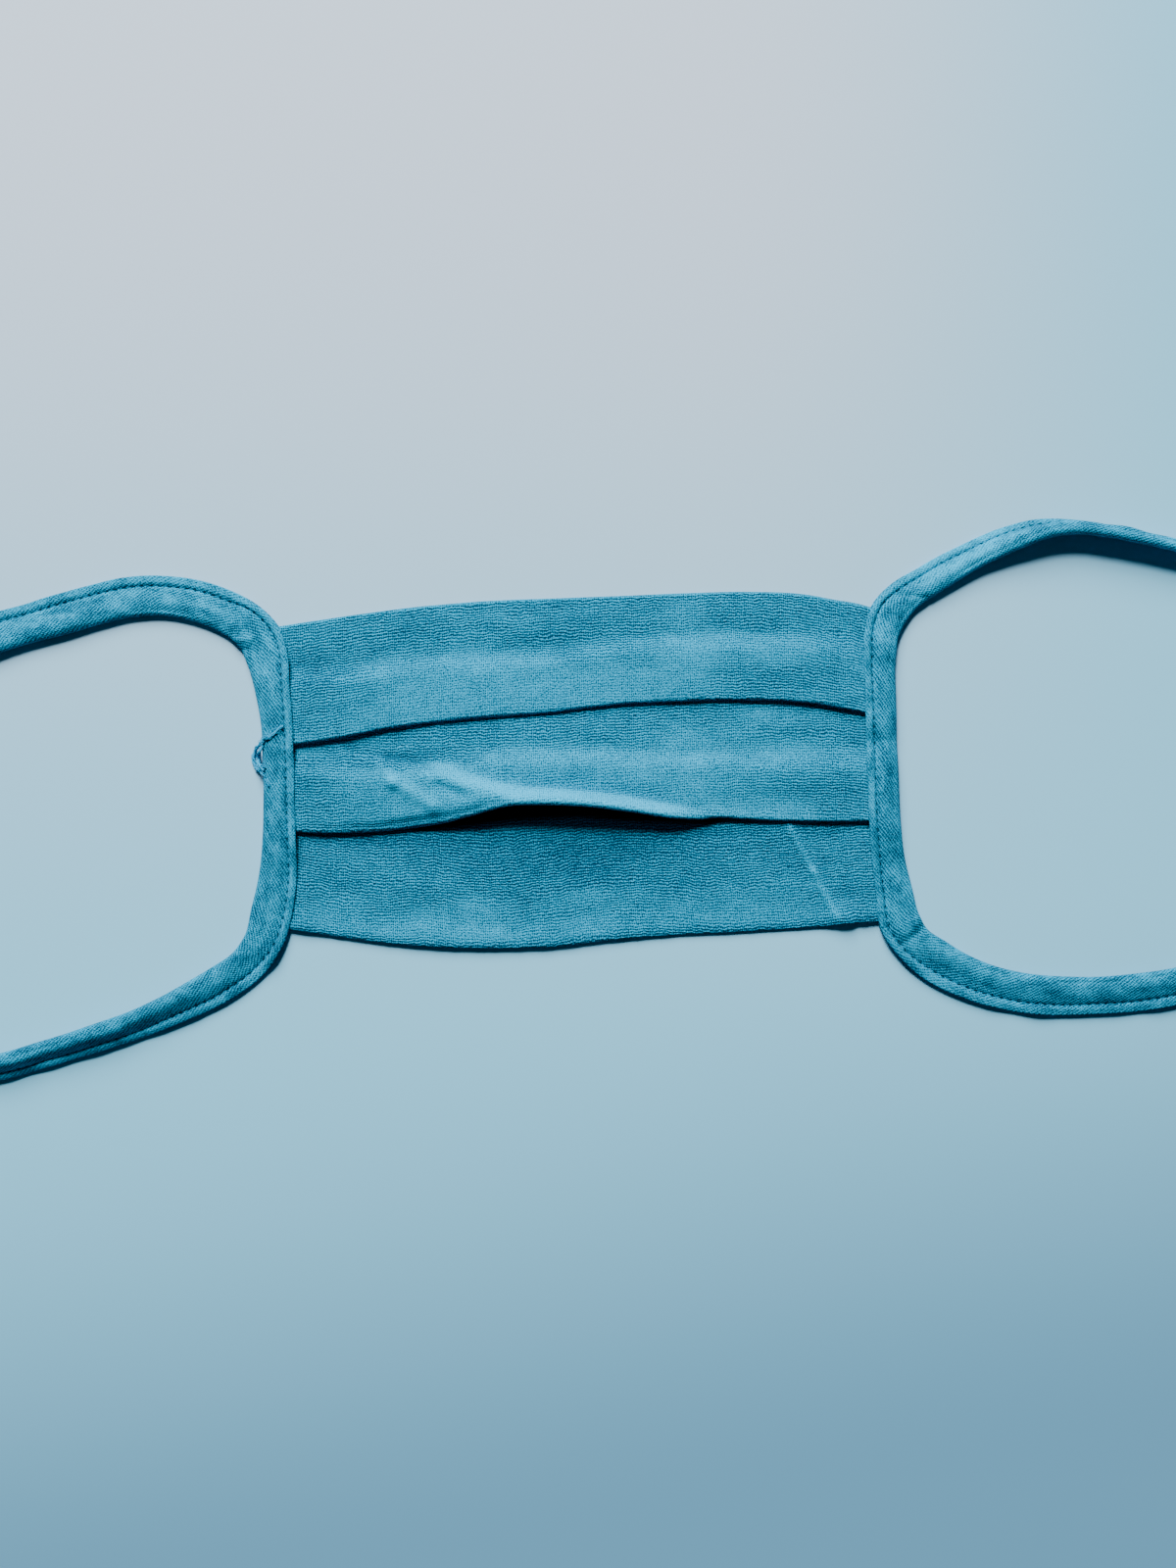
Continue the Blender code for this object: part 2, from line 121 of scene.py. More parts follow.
# Creases pressed into the panel: two ends, half width and height (a ridge, or a valley below 0)
PANEL_CREASES = (
    (60.8, -16.6, 66.5, -29.5, 1.0, 0.9),
    (66.5, -29.5, 71.1, -42.3, 1.0, 1.0),
    (75.7, -29.7, 77.2, -44.1, 1.3, -0.8),
    (-59.0, 2.6, -54.4, -3.2, 1.8, 0.9),
    (-54.4, -3.2, -42.3, -10.1, 2.0, 1.0),
    (-43.2, 1.4, -37.2, 0.0, 1.2, 0.6),
    (-68.0, 7.5, -56.5, 4.6, 1.5, -1.0),
    (-56.5, 4.6, -43.8, 0.6, 1.5, -1.1),
    (-40.9, -4.3, -34.3, -6.6, 1.5, -0.8),
)

# Where the cloth lies more crinkled and darker, or less below 0: middle, half widths and amount.
# Those under the folds and below the gape are painted shade.
CRINKLE_SHADE_PATCHES = (
    (-3.0, -25.5, 38.0, 8.5, 1.1),
    (-65.0, -20.5, 24.0, 3.2, 1.0),
    (45.0, -17.5, 15.0, 3.0, 1.0),
    (-20.7, -36.9, 11.0, 4.5, 0.7),
    (-6.3, 38.0, 14.0, 5.0, 0.9),
    (5.0, 26.5, 22.0, 5.0, -0.5),
    (60.0, 25.0, 17.0, 8.0, 0.9),
    (-76.0, 26.5, 15.0, 10.0, 1.0),
    (-78.0, 40.0, 9.0, 5.0, -0.6),
    (74.0, -2.3, 14.0, 7.0, 0.8),
    (-79.0, -7.0, 12.0, 8.0, 0.9),
    (57.0, 16.4, 16.0, 3.5, -1.0),
    (16.0, 17.8, 22.0, 2.6, 0.5),
    (51.0, 18.6, 6.0, 2.5, -0.5),
    (80.0, 20.4, 5.0, 2.5, 0.6),
    (74.0, -11.3, 8.0, 2.2, 0.6),
    (-81.0, 6.5, 6.0, 3.0, -0.9),
    (-52.0, 3.6, 8.0, 2.6, 0.8),
    (-59.0, 1.9, 14.0, 2.2, 0.9),
)
# Bands of more crinkled, darker cloth under the top edge and each fold; under the folds the
# darkening is partly painted shade.
SLACK_SHADE_BANDS = (("top", 13.0), ("upper_fold", 11.0), ("lower_fold", 24.0))  # reach below an edge
BAND_SHOWN, BAND_FADE = 34.0, 10.0
TAUT_SHARE, BAND_SHARE, SIDE_SHARE, HILL_SHARE = 0.12, 0.70, 0.3, 0.45
SIDE_REACH, SIDE_EDGE = 28.0, 88.0
CRINKLE_HILLS, SHARE_HILLS, SWELL_HILLS = (2.3, 9.0, 11), (15.0, 6.0, 41), (14.0, 8.0, 12)
CRINKLE_RISE, SWELL_RISE, SWELL_START = 0.16, 0.45, 6.0
FOOT_SHADE = (0.45, 5.5, 2.2)  # more crinkled above the roll: amount, distance, width
# Painted shade along the hem: the cloth there is made more crinkled and darker
HEM_SHADE, HEM_BAND = 1.3, 1.6  # the cloth along the hem is this much more crinkled and darker
# Crease ridges are painted paler as highlight, and valleys darker as shade
RIDGE_TAUT_HIGHLIGHT, VALLEY_SLACK_SHADE = 1.0, 0.5  # how much a millimetre of a crease smooths or crinkles

# Tapes
TAPE_LEAF = 0.8
LOOP_LENGTH = 460.0
NARROW_HOLLOW, NARROW_TURNED = 0.7, 1.2  # a narrow strap is puffed, and its seam turned under
SEAM_INSET = (2.9, 1.95)  # from open edge to stitches, on a strap and on a binding
PUFF = 0.55
FOLD_HOLLOW = 0.95  # between the leaves at a free strap's fold
MOUTH = 0.12  # between the leaves at a free strap's open edge
SEAM_GROOVE = 0.42
LIP_SWELL = (0.22, 0.5)  # the corded edge outside the stitches, the same two
# Painted highlight: above these heights a strap is smoother and painted paler
PULLED_LIT_HEIGHTS = (50.0, 64.0)  # a strap is smooth and pale above the first, less past the next
TAPE_SECTIONS = 1000
LOWER_STEPS, BEND_STEPS, UPPER_STEPS = (5, 9), 11, (17, 8)  # points round a tape's profile
TAPE_SEEDS = (21, 31, 51)  # of its width, its ripples and the folds where it is squeezed
HELD_CLEAR = 0.25  # between the panel and the leaves that hold it
WIDTH_WAVER = 0.30  # how far a tape's width strays from its table
SQUEEZE_PITCH = 3.1  # from one small fold to the next on the inside of a bend
OFF_SEAM = 9.0  # stands for any distance from the stitches that is too far to show
STACK_SHOULDER, STACK_LEAD, STACK_TAIL = 14.0, 0.5, 2.0  # how a binding climbs onto a pleat
RING_SAMPLES = 2400
OVERLAP_ROWS = 3
HIDDEN_POINTS = 6
HANDLE_RANGE, HALVINGS = (20.0, 160.0), 40

# Guide rows of a tape: up its binding, out along the upper strap, back along the lower one
TAPE_TABLE = ("x", "y", "width", "roll", "open")
LEFT_OUTWARD = (
    (-90.2, -40.9, 12.0, 0.0, 1.0),
    (-88.7, -32.9, 11.0, 0.0, 1.0),
    (-87.9, -23.3, 9.9, 0.0, 1.0),
    (-87.8, -9.5, 9.0, 0.0, 1.0),
    (-88.1, 4.7, 8.8, 0.0, 1.0),
    (-88.5, 14.1, 8.9, 0.0, 1.0),
    (-89.7, 23.5, 10.2, 0.0, 1.0),
    (-91.3, 32.5, 11.8, 0.0, 1.0),
    (-93.6, 38.6, 12.4, 0.0, 1.0),
    (-96.5, 42.1, 12.4, 0.0, 1.0),
    (-106.5, 48.0, 12.0, 0.0, 0.0),
    (-115.3, 50.6, 11.8, 0.0, 0.0),
    (-123.7, 51.5, 11.5, 0.0, 0.0),
    (-132.1, 51.0, 11.4, 0.0, 0.0),
    (-141.6, 48.9, 11.5, 1.0, 0.0),
    (-150.8, 46.3, 11.6, 2.0, 0.0),
    (-160.0, 43.7, 11.6, 3.0, 0.0),
    (-170.0, 40.8, 11.6, 4.0, 0.0),
)
LEFT_INWARD = (
    (-170.0, -86.5, 8.3, 22.0, 0.0),
    (-157.4, -83.0, 8.3, 22.0, 0.0),
    (-148.2, -80.2, 8.3, 22.0, 0.0),
    (-139.0, -77.2, 8.4, 21.0, 0.0),
    (-129.9, -74.1, 8.7, 20.0, 0.0),
    (-121.6, -70.6, 9.2, 17.0, 0.0),
    (-113.3, -66.6, 10.0, 11.0, 0.0),
    (-104.9, -62.0, 10.5, 5.0, 0.0),
    (-97.5, -56.6, 10.7, 2.0, 0.0),
    (-92.9, -50.1, 11.2, 0.0, 1.0),
)
RIGHT_OUTWARD = (
    (94.1, -45.2, 11.7, 0.0, 1.0),
    (91.9, -35.2, 10.4, 0.0, 1.0),
    (90.1, -25.2, 9.3, 0.0, 1.0),
    (89.0, -15.3, 8.9, 0.0, 1.0),
    (88.4, -3.0, 8.8, 0.0, 1.0),
    (88.0, 9.0, 8.8, 0.0, 1.0),
    (87.6, 22.0, 8.8, 0.0, 1.0),
    (87.4, 33.0, 9.1, 0.0, 1.0),
    (88.3, 41.0, 10.0, 0.0, 1.0),
    (90.8, 46.6, 10.8, 0.0, 1.0),
    (94.7, 51.1, 10.2, 0.0, 0.3),
    (100.9, 55.2, 8.9, 2.0, 0.0),
    (108.9, 60.0, 8.6, 6.0, 0.0),
    (117.6, 64.5, 8.2, 12.0, 0.0),
    (127.0, 68.4, 7.8, 26.0, 0.0),
    (136.1, 70.9, 7.5, 42.0, 0.0),
    (145.3, 71.2, 7.4, 54.0, 0.0),
    (154.7, 69.9, 7.4, 60.0, 0.0),
    (164.8, 67.7, 7.4, 61.0, 0.0),
    (175.0, 65.5, 7.4, 61.0, 0.0),
)
RIGHT_INWARD = (
    (175.0, -62.9, 10.8, 3.0, 0.0),
    (162.0, -64.9, 10.9, 3.0, 0.0),
    (149.6, -65.7, 10.9, 3.0, 0.0),
    (138.5, -65.7, 11.0, 3.0, 0.0),
    (128.5, -64.7, 11.2, 2.0, 0.0),
    (119.5, -62.6, 11.4, 0.0, 0.0),
    (111.3, -59.5, 11.9, 0.0, 0.0),
    (104.0, -55.4, 12.2, 0.0, 0.0),
    (97.7, -50.4, 11.0, 0.0, 0.8),
)

# Creases across the tapes: two ends on the table, half width and height
TAPE_CREASES = (
    (101.5, -41.6, 94.5, -46.8, 2.2, 0.6),
    (101.0, -44.6, 96.0, -49.6, 1.2, -0.45),
    (93.6, 51.4, 102.0, 50.6, 0.5, -0.3),
    (94.2, 53.0, 101.5, 52.4, 0.9, 0.15),
    (-97.0, 38.5, -105.5, 37.5, 0.9, 0.45),
    (-98.5, 35.6, -106.0, 33.4, 0.7, -0.45),
    (-96.5, 33.4, -104.5, 30.6, 0.9, 0.4),
    (-95.5, 30.2, -102.5, 26.8, 0.7, -0.35),
)

# Stitches
STITCH_PITCH = 2.5
STITCH_LENGTH = 1.45
STITCH_RADIUS = 0.2
STITCH_ARCH, STITCH_DIP = 0.08, 0.28  # height of its middle, and drop from there to its ends
STITCH_RINGS, TUBE_SIDES = 7, 8
CLOTH_CUT = 60.0 * STITCH_PITCH  # puts the ends of a tape's pattern at the far end of its loop

# A frayed thread that hangs off the left binding: places in the picture, and its radius
FRAYED_THREAD = ((293, 742), (289, 744), (279, 753), (272, 755), (267, 761), (261, 767),
                 (259, 775), (261, 782), (267, 785), (275, 782))
FRAYED_TAIL = ((266, 786), (271, 790), (275, 796), (278, 803))
FRAYED_TUFT = ((271, 761), (267, 767), (265, 774), (267, 780), (272, 785))
THREAD_RADIUS = 0.38
THREAD_RINGS = 64
THREAD_NEAR, OVER_TAPE, OVER_TABLE = 1.3, 0.15, 0.7  # how near is over the tape, and the heights
FRAYED_FIBRES, FIBRE_RADIUS, FIBRE_WAVER, FIBRE_SEED = 12, 0.06, 0.75, 67

# Its strands: places, share of the radius, how far it wavers, and the seed of that
FRAYED_STRANDS = (
    (FRAYED_THREAD, 1.0, 0.15, 61),
    (FRAYED_THREAD, 0.7, 0.5, 62),
    (FRAYED_TUFT, 1.2, 0.5, 63),
    (FRAYED_TAIL, 0.5, 0.2, 64),
)

# Weave: from one thread to the next across and along the panel, and across both ways of a tape
WEFT_PITCH, WARP_PITCH = 0.86, 0.61
RIB_PITCH, CROSS_PITCH = 0.82, 0.60
TONE_RANGE = (-0.05, 1.1)  # tones that show as the darkest and the lightest linen
LINEN_BUMP, THREAD_BUMP = 0.00012, 0.00006  # heights in metres
THREAD_TWIST = 0.00045  # from one ply of a twisted thread to the next, in metres

# Colours, linear
LINEN_LIGHT = (0.005, 0.430, 0.700, 1.0)
LINEN_DARK = (0.001, 0.030, 0.070, 1.0)
# Painted shade: the near-black colour of the cloth inside the folds and under the gape
LINEN_PAINTED_SHADE = (0.0002, 0.002, 0.006, 1.0)
THREAD_LIGHT = (0.010, 0.380, 0.660, 1.0)
SHEEN_TINT = (0.25, 0.75, 1.0, 1.0)
SPECULAR, SHEEN_ROUGHNESS = 0.03, 0.5
# The table's colours darken towards the front, a painted falloff of the lamps' light
TABLE_BACK = (0.450, 0.545, 0.655, 1.0)
TABLE_CORNER = (0.160, 0.485, 0.665, 1.0)
TABLE_MIDDLE = (0.198, 0.550, 0.755, 1.0)
TABLE_FRONT = (0.106, 0.286, 0.430, 1.0)
TABLE_SIZE, TABLE_DROP = 3.0, 0.00005  # in metres; its top lies just under z = 0

# The lamps, disks aimed at the mask: name, place and size in metres, power in watts. The small
# upper one gives the shadows their cores, and the wide lower one their soft fringes.
LAMPS = (
    ("window_top", (-0.30, 1.33, 1.46), 0.40, 44.0),
    ("window_foot", (-0.37, 1.64, 1.09), 1.07, 79.0),
)

# The dim light of the room around them
ROOM_LIGHT = (0.08, 0.66, 1.0, 1.0)
ROOM_STRENGTH = 0.058


def ease(amount):
    """Goes from 0 to 1 with level ends: three squares less two cubes of the amount."""
    amount = np.clip(amount, 0.0, 1.0)
    return amount * amount * (3.0 - 2.0 * amount)


def bell(distance, width):
    """One at the middle, falling off on both sides as a Gauss curve."""
    return np.exp(-((distance / width) ** 2))


def through(at, places, values):
    """A smooth curve through the values: cubics whose slopes come from the neighbours."""
    slopes = np.gradient(values, places)
    left = np.clip(np.searchsorted(places, at, side="right") - 1, 0, len(places) - 2)
    span = places[left + 1] - places[left]
    along = (at - places[left]) / span
    rest = 1.0 - along
    start = (1.0 + 2.0 * along) * rest ** 2 * values[left] + along * rest ** 2 * span * slopes[left]
    stop = along ** 2 * (3.0 - 2.0 * along) * values[left + 1]
    return start + stop - along ** 2 * rest * span * slopes[left + 1]


def unevenness(u, v, cell_u, cell_v, seed):
    """Smooth random hills from -1 to 1: seeded heights on a lattice, eased between its corners."""
    heights = np.random.default_rng(seed).uniform(-1.0, 1.0, (LATTICE, LATTICE))
    u, v = u / cell_u, v / cell_v
    low_u, low_v = np.floor(u), np.floor(v)
    part_u, part_v = ease(u - low_u), ease(v - low_v)
    i, j = low_u.astype(int) % LATTICE, low_v.astype(int) % LATTICE
    i_next, j_next = (i + 1) % LATTICE, (j + 1) % LATTICE
    below = heights[i, j] * (1.0 - part_u) + heights[i_next, j] * part_u
    above = heights[i, j_next] * (1.0 - part_u) + heights[i_next, j_next] * part_u
    return below * (1.0 - part_v) + above * part_v


def from_pixel(x, y):
    """A place in the picture as millimetres on the table from the panel's middle."""
    middle_x, middle_y = PANEL_MIDDLE_PIXEL
    return ((x - middle_x) * MM_PER_PIXEL, (middle_y - y) * MM_PER_PIXEL)


PANEL = dict(zip(PANEL_TABLE, np.array(PANEL_ROWS).T))


def placed_shift():
    """How far the tables' origin lies from the solids' origin, read off the panel's solid."""
    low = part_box("pleated_panel")[0]
    return np.array([low.x / MM - PANEL_LEFT, low.y / MM - PANEL["bottom"].min(), 0.0])


SHIFT = placed_shift()


def panel_row(x):
    """Each value of the panel's table at the places x, as a column."""
    return {name: through(x, PANEL["x"], PANEL[name])[:, None] for name in PANEL_TABLE}


def unit(vectors):
    """The vectors at length 1."""
    return vectors / np.linalg.norm(vectors, axis=-1, keepdims=True)


def walled(line, tangent, normal, half):
    """Closed rings round a wall: its outer side, a round end, its inner side back, a round end."""
    turn = np.linspace(0.0, math.pi, CAP_POINTS + 2)[1:-1][None, :, None]
    outer = line + half * normal
    inner = (line - half * normal)[:, ::-1]
    last = line[:, -1:] + half * (np.cos(turn) * normal[:, -1:] + np.sin(turn) * tangent[:, -1:])
    first = line[:, :1] - half * (np.cos(turn) * normal[:, :1] + np.sin(turn) * tangent[:, :1])
    return np.concatenate([outer, last, inner, first], axis=1)


def numbered(points):
    """The point numbers of a surface as a grid, a ring in each row."""
    return np.arange(points.shape[0] * points.shape[1]).reshape(points.shape[:2])


def fold_arc(y, z, radius, turn, steps, lean=0.0):
    """A half turn of the sheet as a half circle under z, towards -Y (turn 1) or +Y (turn -1).

    It starts earlier on the circle, by the angle lean, where the sheet still rises as it comes.
    """
    angle = math.pi * np.linspace(0.0, 1.0, steps + 2)[None, 1:-1]
    angle = angle - lean * (1.0 - angle / math.pi)
    return y - turn * radius * np.sin(angle), z - radius + radius * np.cos(angle)


def stretch(start, stop, steps):
    """Evenly spaced values from a column of starts to a column of stops."""
    return start + (stop - start) * np.linspace(0.0, 1.0, steps)[None, :]


def panel_middle():
    """The sheet's middle surface in upright slices, one for each column.

    Each slice runs down the mask: the upper face climbs onto its pleat's hidden layers, turns
    under at the fold in a half circle, runs back, turns again, and so on through the second
    pleat, where the roll and the gape lift the fold. Returns the columns' places, then grids
    of y, of z and of how hidden inside a fold the cloth is, which also sets where its colour
    is painted near black as shade.
    """
    x = np.linspace(PANEL_LEFT, PANEL_RIGHT, PANEL_COLUMNS)
    row = panel_row(x)
    for name in ("roll", "gape", "curl"):
        row[name] = np.clip(row[name], 0.0, None)
    half = PANEL_WALL / 2.0
    low = half
    middle, high = low + PLY_STEP, low + 2.0 * PLY_STEP
    tight = PLY_STEP / 2.0
    swell_middle, swell_width, swell = NOSE_SWELL
    nose = tight + NOSE_GROWTH * row["gape"] + swell * bell(x - swell_middle, swell_width)[:, None]
    depth = (CUT_HEIGHT - (row["top"] - row["bottom"])) / 4.0
    upper = row["upper_fold"] + half + tight
    upper_hidden = row["upper_fold"] + depth - half - tight
    lower = row["lower_fold"] + half + nose
    lower_hidden = row["lower_fold"] + np.sqrt(depth ** 2 - row["gape"] ** 2) - half - tight
    past = half + tight + FOLD_CLEAR
    flat = np.ones_like(x)[:, None]

    def climb(y, hidden):
        return low + (high - low) * ease((hidden + past + RAMP - y) / RAMP)

    foot = np.maximum(row["roll_line"], lower) + ROLL_FLANK
    rolled_stop = np.maximum(row["roll_line"] - ROLL_FLANK, lower)
    meets = 1.0 - np.clip((rolled_stop - lower) / 2.0, 0.0, 1.0)
    lean = math.radians(ROLL_LEAN) * meets * ease(row["gape"] / 3.0)
    end = lower + nose * np.sin(lean)
    rolled_stop = np.maximum(rolled_stop, end)
    end_lift = row["gape"] - nose * (1.0 - np.cos(lean))
    broad = BROAD_LIFT * row["gape"]
    roll_top = row["roll"] + (end_lift - row["roll"]) * meets

    def lift(y):
        """A broad rise over the whole face, a steep one at the roll, then a slope to the fold."""
        rise = broad * ease((upper_hidden - y) / (upper_hidden - end))
        at = np.clip((foot - y) / (foot - rolled_stop), 0.0, 1.0)
        steep = (roll_top - broad) * ease(at)
        steep = steep + np.tan(lean) * (foot - rolled_stop) * (at ** 3 - at ** 2)
        droop = np.clip(rolled_stop - end, 0.2, DROOP_REACH)
        down = (end + droop - y) / droop
        return rise + steep + (end_lift - roll_top) * ease(down)

    y_face = stretch(row["top"], upper, FACE_STEPS[0])
    parts = [(y_face, climb(y_face, upper_hidden))]
    parts.append(fold_arc(upper, high * flat, tight, 1.0, FOLD_STEPS[0]))
    y_face = stretch(upper, upper_hidden, UNDER_STEPS[0])
    parts.append((y_face, middle + 0.0 * y_face))
    parts.append(fold_arc(upper_hidden, middle * flat, tight, -1.0, TURN_STEPS))
    y_face = stretch(upper_hidden, end, FACE_STEPS[1])
    crest = high + row["gape"]
    parts.append((y_face, climb(y_face, lower_hidden) + lift(y_face)))
    parts.append(fold_arc(lower, crest, nose, 1.0, FOLD_STEPS[1], lean))
    y_face = stretch(lower, lower_hidden, UNDER_STEPS[1])
    fall = 1.0 - ease((foot - y_face) / (foot - lower))
    parts.append((y_face, (crest - 2.0 * nose) * (1.0 - fall) + middle * fall))
    parts.append(fold_arc(lower_hidden, middle * flat, tight, -1.0, TURN_STEPS))
    y_face = stretch(lower_hidden, row["bottom"], FACE_STEPS[2])
    hem = row["curl"] * ease(1.0 - (y_face - row["bottom"]) / CURL_REACH)
    parts.append((y_face, low + hem))
    closed_line = np.interp(x, CLOSED_LINE[0], CLOSED_LINE[1])[:, None]
    opened_line = row["lower_fold"] + (closed_line - row["lower_fold"]) * ease(row["gape"])

    # Parts 2, 3, 6 and 7 lie inside a pleat, and 4 and 8 come out of one from under a fold.
    # There the share keeps puffs and creases off the cloth and paints its colour near black as
    # shade.
    tucked = []
    for number, (y_part, _) in enumerate(parts):
        if number in (2, 3, 6, 7):
            tucked.append(np.ones_like(y_part))
        elif number == 4:
            tucked.append(ease((y_part - row["upper_fold"] - TUCK_SHADE_UPPER[0]) / TUCK_SHADE_UPPER[1]))
        elif number == 8:
            tucked.append(ease((y_part - opened_line - TUCK_SHADE_LOWER[0]) / TUCK_SHADE_LOWER[1]))
        else:
            tucked.append(np.zeros_like(y_part))
    return x, *(np.concatenate(lists, axis=1) for lists in (*zip(*parts), tucked))


def pressed_creases(x, y, creases):
    """Low ridges or grooves along short lines: a bell across each line, faded out past its ends."""
    relief = np.zeros_like(x)
    for x0, y0, x1, y1, width, height in creases:
        along_x, along_y = x1 - x0, y1 - y0
        length = math.hypot(along_x, along_y)
        along = ((x - x0) * along_x + (y - y0) * along_y) / length
        across = ((x - x0) * along_y - (y - y0) * along_x) / length
        past_end = np.maximum(np.maximum(-along, along - length), 0.0)
        relief += height * bell(across, width) * bell(past_end, 1.5)
    return relief


def crinkle_and_shade_share(x, y, down):
    """How crinkled the cloth lies, from 0 where it is taut to 1 in bands under each edge and fold.

    Random hills shift the bands about, creases, patches and the hem add to them or take from
    them, and on the roll it falls below 0. The share also darkens or lightens the colour: the
    darker bands under the folds, the patches there and the hem are partly painted shade, and the
    paler roll top and crease ridges painted highlight.
    """
    row = panel_row(x)
    share = np.zeros_like(y)
    for name, reach in SLACK_SHADE_BANDS:
        under = row[name] - y
        shown = (under > 0.0) & (under < BAND_SHOWN)
        faded = ease((under - reach + BAND_FADE / 2.0) / BAND_FADE)
        share = np.where(shown, 1.0 - faded, share)
    sides = 1.0 - ease((SIDE_EDGE - np.abs(x)) / SIDE_REACH)[:, None]
    across = x[:, None] + 0.0 * y
    hills = unevenness(across, down, *SHARE_HILLS)
    crest = np.maximum(row["roll_line"], row["lower_fold"] + 1.5)
    rolled = ease((row["roll"] - 1.0) / 3.5) * bell(y - crest, ROLL_FLANK)
    creases = pressed_creases(across, y, PANEL_CREASES)
    share = TAUT_SHARE + BAND_SHARE * share + SIDE_SHARE * sides + HILL_SHARE * hills
    share = np.clip(share, 0.0, 1.0) - RIDGE_TAUT_HIGHLIGHT * np.clip(creases, 0.0, None)
    share = share - VALLEY_SLACK_SHADE * np.clip(creases, None, 0.0)
    amount, above, wide = FOOT_SHADE
    share = share + amount * ease(row["roll"] / 5.0) * bell(y - row["roll_line"] - above, wide)
    for place_x, place_y, wide, high, amount in CRINKLE_SHADE_PATCHES:
        share = share + amount * bell(x - place_x, wide)[:, None] * bell(y - place_y, high)
    share = share + HEM_SHADE * bell(y - row["bottom"], HEM_BAND)
    return share * (1.0 - rolled) - ROLL_TAUT_HIGHLIGHT * rolled


def around_wall(value):
    """A value on the middle surface as one on the closed ring of points round the wall."""
    last, first = (np.repeat(end, CAP_POINTS, axis=1) for end in (value[:, -1:], value[:, :1]))
    return np.concatenate([value, last, value[:, ::-1], first], axis=1)


def panel_surface():
    """Both sides of the panel's wall: the middle surface moved half the wall along its normals.

    Returns the points, a closed ring for each column, and for each point its place on the flat
    cloth, how crinkled the cloth is there, a share that also paints shade and highlight into its
    colour, and how hidden inside a fold, where its colour is painted near black as shade.
    """
    x, y, z, tucked = panel_middle()
    across = x[:, None] + np.zeros_like(y)
    lengths = np.cumsum(np.hypot(np.diff(y), np.diff(z)), axis=1)
    down = np.concatenate([np.zeros((len(x), 1)), lengths], axis=1)
    crinkled = crinkle_and_shade_share(x, y, down)
    inside = np.minimum(across - PANEL_LEFT, PANEL_RIGHT - across)
    free = ease((inside - HELD_RIM) / RIM_EASE)
    rim = (TAPE_LEAF + 0.1) * (1.0 - free)
    crinkle = CRINKLE_RISE * (0.5 + 0.5 * unevenness(across, down, *CRINKLE_HILLS))
    slack = np.clip(crinkled, 0.0, 1.0) * (1.0 - tucked)
    swell = SWELL_RISE * (0.5 + 0.5 * unevenness(across, down, *SWELL_HILLS))
    puffing = (crinkle * slack + swell * ease(down / SWELL_START)) * free
    z = z + rim + puffing + pressed_creases(across, y, PANEL_CREASES) * free * (1.0 - tucked)
    z = np.maximum(z, PANEL_WALL / 2.0)
    tangent = unit(np.stack([np.gradient(y, axis=1), np.gradient(z, axis=1)], axis=-1))
    normal = np.stack([tangent[..., 1], -tangent[..., 0]], axis=-1)
    ring = walled(np.stack([y, z], axis=-1), tangent, normal, PANEL_WALL / 2.0)
    round_end = CAP_STEP * np.arange(1, CAP_POINTS + 1) + np.zeros((len(x), 1))
    around = np.concatenate([down, down[:, -1:] + round_end, down[:, ::-1], -round_end], axis=1)
    swing = (np.clip(FLARE_START - ring[..., 0], 0.0, None) / FLARE_REACH) ** 2
    share = ((x - PANEL_LEFT) / (PANEL_RIGHT - PANEL_LEFT))[:, None]
    wide = x[:, None] + share * PANEL_FLARE * swing
    points = np.concatenate([wide[..., None], ring], axis=-1)
    cloth = np.stack([x[:, None] + np.zeros_like(around), around], axis=-1)
    return points, cloth, around_wall(crinkled), around_wall(tucked)


def far_end(outward, inward, handle):
    """Guide points of the plain bend that closes a loop: one cubic curve between the straps."""
    start, stop = np.array(outward[-1]), np.array(inward[0])
    leaving = unit(start[:2] - np.array(outward[-2][:2])) * handle
    coming = unit(stop[:2] - np.array(inward[1][:2])) * handle
    share = np.linspace(0.0, 1.0, HIDDEN_POINTS + 2)[1:-1, None]
    rest = 1.0 - share
    place = rest ** 3 * start[:2] + 3.0 * rest ** 2 * share * (start[:2] + leaving)
    place = place + 3.0 * rest * share ** 2 * (stop[:2] + coming) + share ** 3 * stop[:2]
    others = start[2:] + (stop[2:] - start[2:]) * ease(share)
    return np.column_stack([place, others])


def distances(rows):
    """How far along the line through the rows' places each of them lies."""
    steps = np.linalg.norm(np.diff(rows[:, :2], axis=0), axis=1)
    return np.concatenate([[0.0], np.cumsum(steps)])


def ring_rows(outward, inward, handle):
    """All guide rows in order, with some repeated at each end so that the ring closes smoothly."""
    rows = np.concatenate([outward, far_end(outward, inward, handle), inward])
    rows = np.concatenate([rows[-OVERLAP_ROWS:], rows, rows[:OVERLAP_ROWS + 1]])
    return rows, distances(rows)


def ring_samples(rows, along):
    """Finely spaced rows once round the ring, with their true distance along it."""
    at = np.linspace(along[OVERLAP_ROWS], along[-OVERLAP_ROWS - 1], RING_SAMPLES)
    samples = np.column_stack([through(at, along, column) for column in rows.T])
    return samples, distances(samples)


def fitted_ring(outward, inward):
    """The ring whose far end reaches out just far enough to give it the tape's whole length."""
    near, far = HANDLE_RANGE
    for _ in range(HALVINGS):
        handle = (near + far) / 2.0
        samples, distance = ring_samples(*ring_rows(outward, inward, handle))
        if distance[-1] < LOOP_LENGTH:
            near = handle
        else:
            far = handle
    return samples, distance


def stack_share(side, y):
    """How far a binding has climbed from one layer of the panel (0) to the three of a pleat (1)."""
    edge = 0 if side < 0 else -1
    depth = (CUT_HEIGHT - (PANEL["top"][edge] - PANEL["bottom"][edge])) / 4.0
    share = np.zeros_like(y)
    for name in ("upper_fold", "lower_fold"):
        low = PANEL[name][edge] - STACK_LEAD
        high = PANEL[name][edge] + depth + STACK_TAIL
        outside = np.maximum(np.maximum(low - y, y - high), 0.0)
        share = np.maximum(share, 1.0 - ease(outside / STACK_SHOULDER))
    return share


